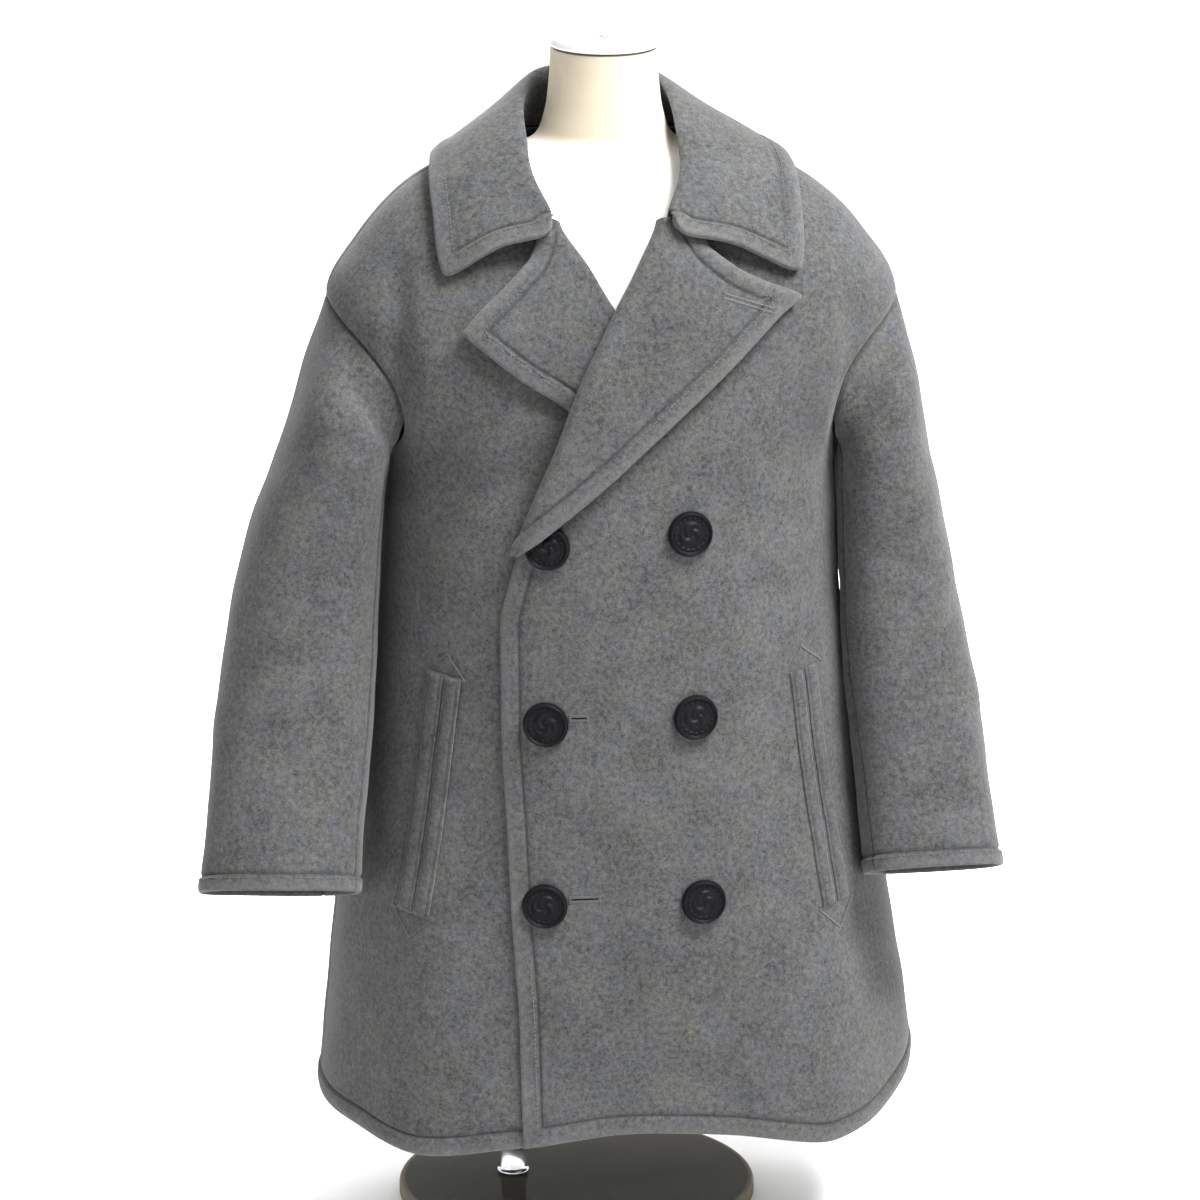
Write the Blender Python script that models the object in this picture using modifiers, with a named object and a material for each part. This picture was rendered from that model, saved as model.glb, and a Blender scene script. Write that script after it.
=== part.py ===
"""Pea coat worn on a limbless dress form, with the form's chrome pole and round base plate.

Metres, +Z up. The coat faces -Y and the wearer's left is +X. The origin is on the floor, under the middle
of the coat, in the underside of the base plate. Every sewn piece is a closed wall of cloth on one shared
body surface, so pieces that are sewn together end SEAM_GAP apart on the same line.
"""

from collections import namedtuple
from math import pi

import bmesh
import bpy
import numpy as np
from mathutils import Matrix

# Driving sizes
CLOTH = 0.0025  # melton wool, one layer
COLLAR_CLOTH = 0.0045  # top collar and under collar sewn together
SEAM_GAP = 0.0003
TINY = 1e-4  # step of the slopes that give a surface its normals

PLATE_RADIUS = 0.150
PLATE_HEIGHT = 0.012
PLATE_CENTRE = (-0.027, 0.022)
POLE_RADIUS = 0.0115
POLE_PLACE = (-0.080, 0.034)

BREAK_Z = 0.590  # where the lapels start to turn back
RIGHT_BREAK_Z = 0.640
LAPEL_TOP_Z = 0.8475
GORGE_Z = 0.852  # where the collar starts
UNDER_DEPTH = 0.0037  # how deep the right front lies under the left one
LAPEL_DEPTH = 0.0130  # and how much deeper above the break, where its lapel goes in between
LAPEL_DEPTH_RISE = 0.060
UNDER_REACH = 0.060  # how far outside the left front's edge the right front starts to go under
UNDER_LEVEL = 0.012  # and how far outside it has its whole depth
ROLL_START = 0.3  # share of the roll's radius at the break
ROLL_RISE = 0.010
LAPEL_CROWN = 0.002  # how far the middle of the lapel stands off
BUTTON_LIFT_LOW, BUTTON_LIFT_HIGH = 0.62, 0.68  # heights between which the lapel comes down off the button

BUTTON_RADIUS = 0.018
BUTTON_HEIGHT = 0.0050
BUTTON_STANDOFF = 0.0006
BUTTONS = {  # x and z of each button's centre
    "top_right": (-0.0630, 0.5980),
    "top_left": (0.0497, 0.6075),
    "middle_right": (-0.0650, 0.4550),
    "middle_left": (0.0540, 0.4590),
    "bottom_right": (-0.0667, 0.3065),
    "bottom_left": (0.0605, 0.3075),
}

WELT_WIDTH = 0.0125
WELT_STANDOFF = 0.0007
WELT_MOUTHS = {  # x and z of the pocket mouth's ends
    "left": ((0.146, 0.486), (0.170, 0.292)),
    "right": ((-0.143, 0.486), (-0.167, 0.292)),
}

ARMPIT_LEVEL = 6.0
SHOULDER_LEVEL = 8.0
NECK_LEVEL = 13.0
ARMHOLE_MIDDLE = 0.5 * (ARMPIT_LEVEL + SHOULDER_LEVEL)
ARMHOLE_REACH = np.radians((34.0, 30.0))  # how far the armhole cuts into the front and into the back
SIDE_GAP = 0.0016  # share of a panel's width left open at its side seam
NECK_GAP = 0.01  # levels left open at the neck seam
CORRECTIONS = 14  # times that a guess of a place on the body is corrected
LEVEL_HEIGHT = 0.045  # about how far one level is above the last, for the corrections

# Rows and columns of the cloth pieces
SKIRT_ROWS = 12
LEVEL_SPACING = 0.08  # rows nearer than this to a lapel's corner give way to it
FRONT_NECK_LEVELS = (11.6, 12.3, NECK_LEVEL - NECK_GAP)
BACK_NECK_LEVELS = (8.7, 9.4, 10.1, 10.8, 11.5, 12.2, NECK_LEVEL - NECK_GAP)
PANEL_COLUMNS = np.concatenate([[SIDE_GAP], np.linspace(0.0, 1.0, 12)[1:]])
ROLL_COLUMNS = 1.0 + np.array([0.2, 0.5, 0.8])
LAPEL_COLUMNS = 2.0 + np.linspace(0.0, 1.0, 7)

# One row for each level of the coat's body, from the hem up. Above the armpit a level climbs from its
# front and back over the shoulder, so that the shoulder seam runs through the rows' side points.
Ring = namedtuple("Ring", "half_width side_y side_z front_y front_z back_y back_z square middle_x")
COAT_RINGS = (
    Ring(0.2470, 0.010, 0.100, -0.165, 0.112, 0.172, 0.104, 2.3, 0.0045),  # hem
    Ring(0.2385, 0.014, 0.200, -0.163, 0.200, 0.163, 0.200, 2.3, 0.0045),
    Ring(0.2250, 0.020, 0.300, -0.160, 0.300, 0.150, 0.300, 2.3, 0.0025),
    Ring(0.2060, 0.024, 0.400, -0.156, 0.400, 0.140, 0.400, 2.3, 0.001),
    Ring(0.1930, 0.024, 0.500, -0.152, 0.500, 0.132, 0.500, 2.3, 0.000),
    Ring(0.1850, 0.022, 0.600, -0.148, 0.600, 0.128, 0.600, 2.3, 0.000),
    Ring(0.1820, 0.016, 0.655, -0.143, 0.655, 0.126, 0.655, 2.4, 0.000),  # armpit
    Ring(0.2080, 0.008, 0.715, -0.136, 0.705, 0.122, 0.710, 2.5, 0.000),
    Ring(0.2300, 0.000, 0.776, -0.127, 0.755, 0.115, 0.765, 2.4, 0.000),  # shoulder point
    Ring(0.2060, 0.000, 0.824, -0.115, 0.795, 0.105, 0.810, 2.4, 0.000),
    Ring(0.1700, 0.000, 0.863, -0.101, 0.830, 0.090, 0.850, 2.3, -0.001),
    Ring(0.1250, 0.000, 0.888, -0.084, 0.862, 0.075, 0.880, 2.2, -0.003),
    Ring(0.0880, 0.000, 0.901, -0.068, 0.881, 0.062, 0.894, 2.1, -0.005),
    Ring(0.0700, 0.000, 0.908, -0.058, 0.892, 0.055, 0.901, 2.0, -0.006),  # neckline
)

# The dress form, from its flat underside to the top of the neck
FORM_RINGS = (
    Ring(0.140, 0.005, 0.255, -0.098, 0.255, 0.108, 0.255, 2.1, 0.000),
    Ring(0.150, 0.005, 0.330, -0.106, 0.330, 0.116, 0.330, 2.1, 0.000),
    Ring(0.136, 0.005, 0.410, -0.098, 0.410, 0.098, 0.410, 2.1, 0.000),
    Ring(0.122, 0.003, 0.500, -0.092, 0.500, 0.082, 0.500, 2.1, 0.000),
    Ring(0.140, 0.003, 0.600, -0.108, 0.600, 0.092, 0.600, 2.2, 0.000),
    Ring(0.156, 0.003, 0.690, -0.112, 0.690, 0.100, 0.690, 2.3, 0.000),
    Ring(0.162, 0.000, 0.765, -0.102, 0.755, 0.098, 0.760, 2.3, 0.000),
    Ring(0.158, 0.000, 0.825, -0.0885, 0.805, 0.088, 0.815, 2.3, 0.000),
    Ring(0.1235, 0.000, 0.8825, -0.071, 0.847, 0.066, 0.868, 2.2, -0.003),
    Ring(0.0865, 0.000, 0.8955, -0.056, 0.873, 0.052, 0.888, 2.1, -0.005),
    Ring(0.0580, 0.000, 0.9030, -0.047, 0.890, 0.045, 0.898, 2.0, -0.006),
    Ring(0.0480, 0.000, 0.9220, -0.045, 0.916, 0.045, 0.922, 2.0, -0.006),
    Ring(0.0440, 0.000, 0.9500, -0.045, 0.947, 0.046, 0.951, 2.0, -0.006),
    Ring(0.0425, 0.000, 0.9765, -0.047, 0.9745, 0.047, 0.9785, 2.0, -0.006),  # top of the neck
)

# The front edge of the wearer's left front from the hem up, and above the break its roll line and neckline.
# outer_x is the free edge of the lapel at the same height. The right front is the same piece turned over.
EdgeRow = namedtuple("EdgeRow", "z edge_x outer_x")
LEFT_EDGE = (
    EdgeRow(0.100, -0.0845, -0.0845),
    EdgeRow(0.220, -0.0875, -0.0875),
    EdgeRow(0.300, -0.0930, -0.0930),
    EdgeRow(0.440, -0.1000, -0.1000),
    EdgeRow(0.540, -0.1005, -0.1005),
    EdgeRow(BREAK_Z, -0.0870, -0.0855),
    EdgeRow(0.6000, -0.0790, -0.0710),
    EdgeRow(0.6180, -0.0720, -0.0500),
    EdgeRow(0.650, -0.0595, -0.0125),
    EdgeRow(0.699, -0.0385, 0.0415),
    EdgeRow(0.735, -0.0235, 0.0808),
    EdgeRow(0.775, -0.0035, 0.1225),
    EdgeRow(0.7875, 0.0030, 0.1410),  # tip of the lapel
    EdgeRow(0.7990, 0.0100, 0.1115),
    EdgeRow(0.8095, 0.0160, 0.0895),
    EdgeRow(0.8260, 0.0255, 0.0680),
    EdgeRow(0.8370, 0.0315, 0.0615),
    EdgeRow(LAPEL_TOP_Z, 0.0375, 0.0575),
    EdgeRow(GORGE_Z, 0.0350, 0.0350),
    EdgeRow(0.870, 0.0445, 0.0445),
    EdgeRow(0.885, 0.0510, 0.0510),
    EdgeRow(0.900, 0.0545, 0.0545),
    EdgeRow(0.915, 0.0555, 0.0555),
)
RIGHT_EDGE = (
    EdgeRow(0.100, -0.082, -0.082),
    EdgeRow(0.300, -0.088, -0.088),
    EdgeRow(0.560, -0.088, -0.088),
    EdgeRow(RIGHT_BREAK_Z, -0.062, -0.060),
    EdgeRow(0.670, -0.046, 0.000),
    EdgeRow(0.706, -0.030, 0.046),
    EdgeRow(0.7305, -0.0160, 0.0830),
    EdgeRow(0.7645, 0.0020, 0.1265),  # tip of the lapel
    EdgeRow(0.780, 0.0110, 0.1130),
    EdgeRow(0.798, 0.0230, 0.0935),
    EdgeRow(0.819, 0.0385, 0.0735),
    EdgeRow(0.834, 0.0500, 0.0665),
    EdgeRow(0.844, 0.0575, 0.0680),
    EdgeRow(LAPEL_TOP_Z, 0.0600, 0.0690),
    EdgeRow(GORGE_Z, 0.0560, 0.0560),
    EdgeRow(0.870, 0.067, 0.067),
    EdgeRow(0.885, 0.0705, 0.0705),
    EdgeRow(0.900, 0.070, 0.070),
    EdgeRow(0.915, 0.069, 0.069),
)

# Sections of the left sleeve below its armhole seam. lift turns the section up on its outer side, and
# pitch turns it up in front, in degrees.
Section = namedtuple("Section", "x y z half_width half_depth lift pitch")
SLEEVE_SECTIONS = (
    Section(0.2112, -0.006, 0.682, 0.0490, 0.0962, 48.0, 0.0),
    Section(0.2172, -0.010, 0.635, 0.0412, 0.0892, 18.0, 2.0),
    Section(0.2247, -0.014, 0.575, 0.0467, 0.0832, 8.0, 4.0),
    Section(0.2332, -0.027, 0.500, 0.0527, 0.0752, 5.0, 8.0),
    Section(0.2427, -0.050, 0.425, 0.0552, 0.0652, 4.0, 14.0),
    Section(0.2497, -0.077, 0.360, 0.0552, 0.0542, 3.0, 18.0),
    Section(0.2552, -0.098, 0.311, 0.0557, 0.0482, 2.0, 20.0),  # cuff
)
SLEEVE_SQUARE = 2.8
SLEEVE_REST = 0.0024  # how near the sleeves hang to the body
SLEEVE_REST_SOFTNESS = 0.003
# The right sleeve hangs further out and lower, more so on its outer side
RIGHT_SWING, RIGHT_SPREAD, RIGHT_DROP = 0.0215, 0.0090, 0.0060
RIGHT_SWING_END = 0.54  # share of the sleeve's length over which it swings out
BODY_REST_RISE, BODY_REST_START = 0.04, 0.05  # where under the arm the sleeve starts to keep off the body
SLEEVE_SEAM_INSET = np.radians(0.35)
SLEEVE_ROWS = 12
SLEEVE_TOP_STEPS = (0.005, 0.05)
SEAM_MATCH = 4.0  # how much the wall turns to the body's own at the armhole seam
SLEEVE_SEAMS = np.radians((-152.0, 118.0))  # the front seam and the back seam, round from the outer side

# The collar from its front end round to the middle of the back: where its seam, its fold and its free
# edge run. seam counts 0 to 1 from the gorge along the front's neckline and 1 to 2 on round the back. The
# edge lies on the body surface, at an angle round it and a level.
CollarRow = namedtuple("CollarRow", "seam middle_x fold_x fold_y fold_z edge_angle edge_level bulge sag")
COLLAR_ROWS = (
    CollarRow(0.05, -0.0090, 0.0490, -0.103, 0.860, 37.5, 8.93, 0.0060, 0.009),
    CollarRow(0.55, -0.0106, 0.0600, -0.068, 0.888, 54.5, 9.95, 0.0045, 0.002),
    CollarRow(1.00, -0.0122, 0.0598, -0.030, 0.917, 74.0, 10.48, 0.0040, 0.0),
    CollarRow(1.32, -0.0122, 0.0553, 0.014, 0.938, 95.0, 10.70, 0.0030, 0.0),
    CollarRow(1.64, -0.0105, 0.0405, 0.051, 0.949, 136.0, 10.80, 0.0020, 0.0),
    CollarRow(2.00, -0.0090, 0.0000, 0.067, 0.953, 180.0, 10.75, 0.0015, 0.0),
)
SAG_SLOPE = 0.55  # how far a sagging fall comes forwards as it goes down
MIDDLE_SAG = 0.4  # share of the sag that is left at the middle of the fall
COLLAR_LIFT = 0.0062  # height of the collar's outer face over the body at its free edge
COLLAR_SEAM_GAP = 0.0006
COLLAR_OUTWARDS = (1.0, 1.0, 0.4)  # how a normal is flattened where the stand stands up
STAND_RISE, STAND_DIP = 0.45, 0.0010  # the stand's middle
TURN_DROP, TURN_DIP = 0.22, 0.0015  # where the stand turns into the fold
FOLD_CROWN = 0.0012
FALL_START, FALL_LIFT = 0.10, 0.0045  # where the fold turns into the fall
COLLAR_COLUMNS, COLLAR_STEPS = 29, 13
COLLAR_SEAM_STEP = 0.006

# Soft vertical folds of the skirt, round the body from the middle of the front
Fold = namedtuple("Fold", "angle depth width low high")
FOLDS = (
    Fold(-40.0, 0.0110, 17.0, 0.08, 0.40),
    Fold(0.0, -0.0040, 17.0, 0.08, 0.34),
    Fold(37.0, 0.0110, 17.0, 0.08, 0.42),
    Fold(66.0, 0.0040, 11.0, 0.08, 0.38),
    Fold(-112.0, 0.0060, 16.0, 0.08, 0.50),
    Fold(118.0, 0.0080, 17.0, 0.08, 0.52),
    Fold(152.0, -0.0050, 14.0, 0.08, 0.48),
    Fold(-150.0, -0.0050, 14.0, 0.08, 0.48),
    Fold(180.0, 0.0040, 16.0, 0.08, 0.45),
)

# Height of the hem round the body, in degrees from the middle of the front
HemRow = namedtuple("HemRow", "angle z")
HEM_ROWS = (
    HemRow(-180.0, 0.104),
    HemRow(-130.0, 0.102),
    HemRow(-86.0, 0.103),
    HemRow(-60.0, 0.102),
    HemRow(-40.0, 0.0915),
    HemRow(-20.0, 0.1005),
    HemRow(0.0, 0.1145),
    HemRow(18.0, 0.1085),
    HemRow(36.0, 0.0935),
    HemRow(52.0, 0.103),
    HemRow(66.0, 0.122),
    HemRow(84.0, 0.134),
    HemRow(120.0, 0.120),
    HemRow(150.0, 0.107),
    HemRow(180.0, 0.104),
)
HEM_FADE = 1.6  # levels over which the hem's own heights fade out


def ramp(value, low, high):
    """0 below low, 1 above high and a smooth rise between them."""
    f = np.clip((value - low) / (high - low), 0.0, 1.0)
    return f * f * (3.0 - 2.0 * f)


def spline(rows, t):
    """Smooth curve through the rows, t counting rows: cubic pieces, each row's slope taken across it."""
    rows = np.asarray(rows, float)
    slopes = np.gradient(rows, axis=0)
    i = np.clip(np.floor(t).astype(int), 0, len(rows) - 2)
    f = (t - i)[..., None]
    start = (1.0 + 2.0 * f) * (1.0 - f) ** 2 * rows[i] + f * (1.0 - f) ** 2 * slopes[i]
    return start + f * f * (3.0 - 2.0 * f) * rows[i + 1] + f * f * (f - 1.0) * slopes[i + 1]


def through_rows(rows, t):
    """Points at t from 0 to 1 on the smooth curves through the rows, which hold one point for each t."""
    slopes = np.gradient(rows, axis=0)
    place = t * (len(rows) - 1)
    i = np.clip(np.floor(place).astype(int), 0, len(rows) - 2)
    f = (place - i)[..., None]
    take = tuple(np.indices(t.shape))
    start = (1.0 + 2.0 * f) * (1.0 - f) ** 2 * rows[(i, *take)] + f * (1.0 - f) ** 2 * slopes[(i, *take)]
    ahead = (i + 1, *take)
    return start + f * f * (3.0 - 2.0 * f) * rows[ahead] + f * f * (f - 1.0) * slopes[ahead]


def rounded(value, square):
    """A sine or cosine bent so that the two of them draw an oval of this squareness, 2 for an ellipse."""
    return np.sign(value) * np.abs(value) ** (2.0 / square)


def rings_at(rings, level):
    return Ring(*np.moveaxis(spline(rings, level), -1, 0))


def shell(rings, angle, level):
    """Point of a ring table's surface: a rounded oval at each level, angle 0 in front and pi / 2 at +X."""
    ring = rings_at(rings, level)
    sine, cosine = np.sin(angle), np.cos(angle)
    in_front = cosine > 0.0
    end_y = np.where(in_front, ring.front_y, ring.back_y)
    end_z = np.where(in_front, ring.front_z, ring.back_z)
    x = ring.middle_x + ring.half_width * rounded(sine, ring.square)
    y = ring.side_y + (end_y - ring.side_y) * np.abs(rounded(cosine, ring.square))
    z = end_z + (ring.side_z - end_z) * sine * sine
    return np.stack([x, y, z], -1)


def body(angle, level):
    """The coat's outer surface: the ring table's surface, moved out and in by the skirt's folds."""
    angle, level = np.broadcast_arrays(np.asarray(angle, float), np.asarray(level, float))
    points = shell(COAT_RINGS, angle, level)
    out = np.zeros_like(angle)
    for fold in FOLDS:
        turn = np.degrees(np.angle(np.exp(1j * (angle - np.radians(fold.angle)))))
        fade = 1.0 - ramp(points[..., 2], fold.low + 0.1, fold.high)
        out = out + fold.depth * np.exp(-((turn / fold.width) ** 2)) * fade
    points[..., 0] += out * np.sin(angle)
    points[..., 1] -= out * np.cos(angle)
    points[..., 2] += hem_rise(angle) * (1.0 - ramp(level, 0.0, HEM_FADE))
    return points


def hem_rise(angle):
    """How far the hem's own height is above its ring's height at this angle."""
    rows = np.array(HEM_ROWS)
    turn = np.degrees(np.angle(np.exp(1j * angle)))
    ring_z = shell(COAT_RINGS, angle, np.zeros_like(angle))[..., 2]
    return np.interp(turn, rows[:, 0], rows[:, 1]) - ring_z


def normals(surface, a, b):
    """Unit normals of surface(a, b), on the side that the cross product of its two slopes points to."""
    along_a = surface(a + TINY, b) - surface(a - TINY, b)
    along_b = surface(a, b + TINY) - surface(a, b - TINY)
    normal = np.cross(along_a, along_b)
    return normal / np.linalg.norm(normal, axis=-1, keepdims=True)


def body_place(x, z):
    """Angle and level of the front of the body at x and height z, found by repeated correction."""
    x, z = np.broadcast_arrays(np.asarray(x, float), np.asarray(z, float))
    front_z = np.array([ring.front_z for ring in COAT_RINGS])
    level = np.interp(z, front_z, np.arange(len(COAT_RINGS)))
    for _ in range(CORRECTIONS):
        angle = angle_at(x, level)
        miss = shell(COAT_RINGS, angle, level)[..., 2] - z
        level = level - miss / LEVEL_HEIGHT
        level = np.clip(level, 0.0, NECK_LEVEL)
    return angle_at(x, level), level


def angle_at(x, level):
    """Angle at which the level has this x, in front."""
    ring = rings_at(COAT_RINGS, level)
    share = np.clip((x - ring.middle_x) / ring.half_width, -1.0, 1.0)
    return np.arcsin(np.sign(share) * np.abs(share) ** (ring.square / 2.0))


def edge_values(table, z):
    rows = np.array(table)
    return np.interp(z, rows[:, 0], rows[:, 1]), np.interp(z, rows[:, 0], rows[:, 2])


def side_angle(level, reach):
    """Angle of the panels' outer edge, before the side seam at pi / 2: the armhole is half an oval."""
    share = np.clip(1.0 - (level - ARMHOLE_MIDDLE) ** 2, 0.0, 1.0)
    return pi / 2.0 - reach * np.sqrt(share)


def front_edge_angle(front, level):
    """Angle and height of the front edge or roll line at this level, by repeated correction."""
    level = np.asarray(level, float)
    z = rings_at(COAT_RINGS, level).front_z
    for _ in range(CORRECTIONS):
        edge_x, _ = edge_values(front.table, z)
        angle = angle_at(front.side * edge_x, level)
        z = shell(COAT_RINGS, angle, level)[..., 2]
    return angle, z


def under_depth(x, z):
    """How far the right front lies under the body surface at x and z, for the left front to lie over it.
    Above the break its own turned lapel also goes in between."""
    edge_x, _ = edge_values(LEFT_EDGE, z)
    depth = UNDER_DEPTH + LAPEL_DEPTH * ramp(z, BREAK_Z, BREAK_Z + LAPEL_DEPTH_RISE)
    return depth * ramp(x - edge_x, -UNDER_REACH, -UNDER_LEVEL)


def no_depth(x, z):
    return np.zeros_like(x * z)


def chest(front, x, z):
    """Outer face of a front at x and z, and its normal."""
    angle, level = body_place(x, z)
    normal = normals(body, angle, level)
    return body(angle, level) - normal * front.depth_of(x, z)[..., None], normal


# side is 1 for the wearer's left and -1 for the right, whose tables count x from the other side
Front = namedtuple("Front", "side table depth_of break_z roll_radius lapel_lift button_lift corner_heights")
LEFT_CORNERS = (BREAK_Z, 0.6000, 0.6180, 0.775, 0.7875, 0.7990, 0.8095, 0.8260, 0.8370, LAPEL_TOP_Z)
RIGHT_CORNERS = (RIGHT_BREAK_Z, 0.7645, 0.780, 0.798, 0.819, 0.834, 0.844, LAPEL_TOP_Z)
LEFT_FRONT = Front(1.0, LEFT_EDGE, no_depth, BREAK_Z, 0.0034, 0.0020, 0.0046, LEFT_CORNERS)
RIGHT_FRONT = Front(-1.0, RIGHT_EDGE, under_depth, RIGHT_BREAK_Z, 0.0030, 0.0018, 0.0, RIGHT_CORNERS)


def panel_place(front, u, level):
    """Angle and level on the body at share u of the way from the side seam to the front edge."""
    edge_angle, _ = front_edge_angle(front, level)
    start = front.side * side_angle(level, ARMHOLE_REACH[0])
    return start + (edge_angle - start) * np.minimum(u, 1.0), level


def lapel_place(front, u, level):
    """x and z on the chest under the lapel at u from 2 at the roll line to 3 at the lapel's free edge."""
    _, edge_z = front_edge_angle(front, level)
    edge_x, outer_x = edge_values(front.table, edge_z)
    return front.side * (edge_x + (outer_x - edge_x) * np.clip(u - 2.0, 0.0, 1.0)), edge_z


def front_sheet(front, u, level):
    """Outer face of a front and its normals: u from 0 at the side seam to 1 at the front edge or roll line,
    to 2 round the roll, and to 3 at the free edge of the lapel, where the outer face looks at the chest."""
    u, level = np.broadcast_arrays(np.asarray(u, float), np.asarray(level, float))
    place = panel_place(front, u, level)
    panel = body(*place)
    panel_normal = normals(body, *place)
    panel = panel - panel_normal * front.depth_of(panel[..., 0], panel[..., 2])[..., None]

    lapel_x, lapel_z = lapel_place(front, u, level)
    base, normal = chest(front, lapel_x, lapel_z)
    rolled = ramp(lapel_z, front.break_z, front.break_z + ROLL_RISE)
    radius = front.roll_radius * (ROLL_START + (1.0 - ROLL_START) * rolled)
    clear = ramp(lapel_z, BUTTON_LIFT_LOW, BUTTON_LIFT_HIGH)
    lift = front.lapel_lift + front.button_lift * (1.0 - clear)
    across = np.clip(u - 2.0, 0.0, 1.0)
    turn = pi * np.clip(u - 1.0, 0.0, 1.0)
    height = radius * (1.0 - np.cos(turn))
    height = height + (lift - 2.0 * radius) * across + LAPEL_CROWN * np.sin(pi * across)
    lapel = base + normal * height[..., None]
    lapel[..., 0] -= front.side * radius * np.sin(turn)
    sideways = np.stack([-front.side * np.sin(turn), 0.0 * turn, 0.0 * turn], -1)
    lapel_normal = normal * np.cos(turn)[..., None] - sideways
    lapel_normal = lapel_normal / np.linalg.norm(lapel_normal, axis=-1, keepdims=True)
    turned = (u > 1.0)[..., None]
    return np.where(turned, lapel, panel), np.where(turned, lapel_normal, panel_normal)


def grid_normals(points):
    """Unit normals of a grid of points, from its own neighbours."""
    normal = np.cross(np.gradient(points, axis=1), np.gradient(points, axis=0))
    return normal / np.maximum(np.linalg.norm(normal, axis=-1, keepdims=True), 1e-12)


def sleeve_ring(angle):
    """The armhole seam of the left sleeve, angle 0 at the shoulder point and pi at the armpit."""
    reach = np.where(np.sin(angle) < 0.0, ARMHOLE_REACH[0], ARMHOLE_REACH[1])
    level = ARMHOLE_MIDDLE + np.cos(angle)
    return pi / 2.0 + reach * np.sin(angle), level


def beside_body(points, amount):
    """The same points, moved under the arm to SLEEVE_REST outside the coat's body, by a share of the way."""
    x, y, z = np.moveaxis(points, -1, 0)
    heights = np.array([ring.side_z for ring in COAT_RINGS[: int(ARMPIT_LEVEL) + 2]])
    level = np.interp(z, heights, np.arange(len(heights)))
    ring = rings_at(COAT_RINGS, level)
    end_y = np.where(y < ring.side_y, ring.front_y, ring.back_y)
    share = np.clip((y - ring.side_y) / (end_y - ring.side_y), 0.0, 1.0)
    angle = np.arccos(share ** (ring.square / 2.0))
    angle = np.where(y < ring.side_y, angle, pi - angle)
    least = body(angle, level)[..., 0] + SLEEVE_REST
    over = x - least
    softly = least + 0.5 * (over + np.sqrt(over * over + SLEEVE_REST_SOFTNESS**2))
    below = amount * ramp(heights[-1] - z, 0.0, BODY_REST_RISE)
    return np.stack([x + (softly - x) * below, y, z], -1)


def sleeve(angle, t, side=1.0):
    """A sleeve as on the left: t from 0 at the armhole seam to 1 at the cuff, angle 0 outside and -pi / 2 in
    front. side is -1 for the right sleeve's own hang."""
    angle, t = np.broadcast_arrays(np.asarray(angle, float), np.asarray(t, float))
    rows = [body(*sleeve_ring(angle))]
    for section in SLEEVE_SECTIONS:
        lift, pitch = np.radians(section.lift), np.radians(section.pitch)
        wide = section.half_width * rounded(np.cos(angle), SLEEVE_SQUARE)
        deep = section.half_depth * rounded(np.sin(angle), SLEEVE_SQUARE)
        x = section.x + wide * np.cos(lift)
        y = section.y + deep * np.cos(pitch)
        z = section.z + wide * np.sin(lift) - deep * np.sin(pitch)
        rows.append(np.stack([x, y, z], -1))
    points = through_rows(np.stack(rows), t)
    if side < 0.0:
        swing = ramp(t, 0.0, RIGHT_SWING_END)
        points[..., 0] += (RIGHT_SWING + RIGHT_SPREAD * np.cos(angle)) * swing
        points[..., 2] -= RIGHT_DROP * ramp(t, 0.0, 1.0)
    return beside_body(points, ramp(t, 0.0, BODY_REST_START))


def neckline(front, share):
    """Angle and level of the neckline: share 0 to 1 from the gorge up the front, 1 to 2 round the back."""
    edge_x, _ = edge_values(front.table, GORGE_Z)
    _, gorge_level = body_place(front.side * edge_x, GORGE_Z)
    level = gorge_level + (NECK_LEVEL - gorge_level) * np.minimum(share, 1.0)
    edge_angle, _ = front_edge_angle(front, level)
    return edge_angle + (front.side * pi - edge_angle) * np.clip(share - 1.0, 0.0, 1.0), level


def collar_half(front, s, t):
    """One side of the collar: smooth curves up the stand, over the fold and down the fall to the free edge."""
    row = CollarRow(*np.moveaxis(spline(COLLAR_ROWS, (1.0 - s) * (len(COLLAR_ROWS) - 1)), -1, 0))
    seam_place = neckline(front, row.seam)
    fold = np.stack([row.middle_x + front.side * row.fold_x, row.fold_y, row.fold_z], -1)
    edge_place = front.side * np.radians(row.edge_angle), row.edge_level
    edge_normal = normals(body, *edge_place)
    edge = body(*edge_place) + edge_normal * COLLAR_LIFT
    upright = fold - body(*seam_place)
    seam = body(*seam_place) + upright * (COLLAR_SEAM_GAP / np.linalg.norm(upright, axis=-1, keepdims=True))
    fall = edge - fold
    sag = row.sag[..., None] * np.array([0.0, -SAG_SLOPE, -1.0])
    outwards = edge_normal * np.array(COLLAR_OUTWARDS)
    rows = np.stack(
        [
            seam,
            seam + STAND_RISE * upright - STAND_DIP * outwards,
            fold - TURN_DROP * upright - TURN_DIP * outwards,
            fold + FOLD_CROWN * edge_normal,
            fold + FALL_START * fall + FALL_LIFT * edge_normal + sag,
            fold + 0.5 * fall + edge_normal * row.bulge[..., None] + MIDDLE_SAG * sag,
            edge,
        ]
    )
    return through_rows(rows, t)


def collar_sheet(s, t):
    """Visible face of the collar: s from -1 at its right front end over 0 at the back to 1 at its left end,
    t from 0 at the neck seam up the stand, over the fold near 0.5 and down the fall to 1 at the edge."""
    s, t = np.broadcast_arrays(np.asarray(s, float), np.asarray(t, float))
    left = collar_half(LEFT_FRONT, np.abs(s), t)
    right = collar_half(RIGHT_FRONT, np.abs(s), t)
    return np.where((s < 0.0)[..., None], right, left)


def finish(name, colour, roughness, metallic=0.0):
    material = bpy.data.materials.new(name)
    material.use_nodes = True
    shader = material.node_tree.nodes["Principled BSDF"]
    shader.inputs["Base Color"].default_value = (*colour, 1.0)
    shader.inputs["Roughness"].default_value = roughness
    shader.inputs["Metallic"].default_value = metallic
    return material


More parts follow.
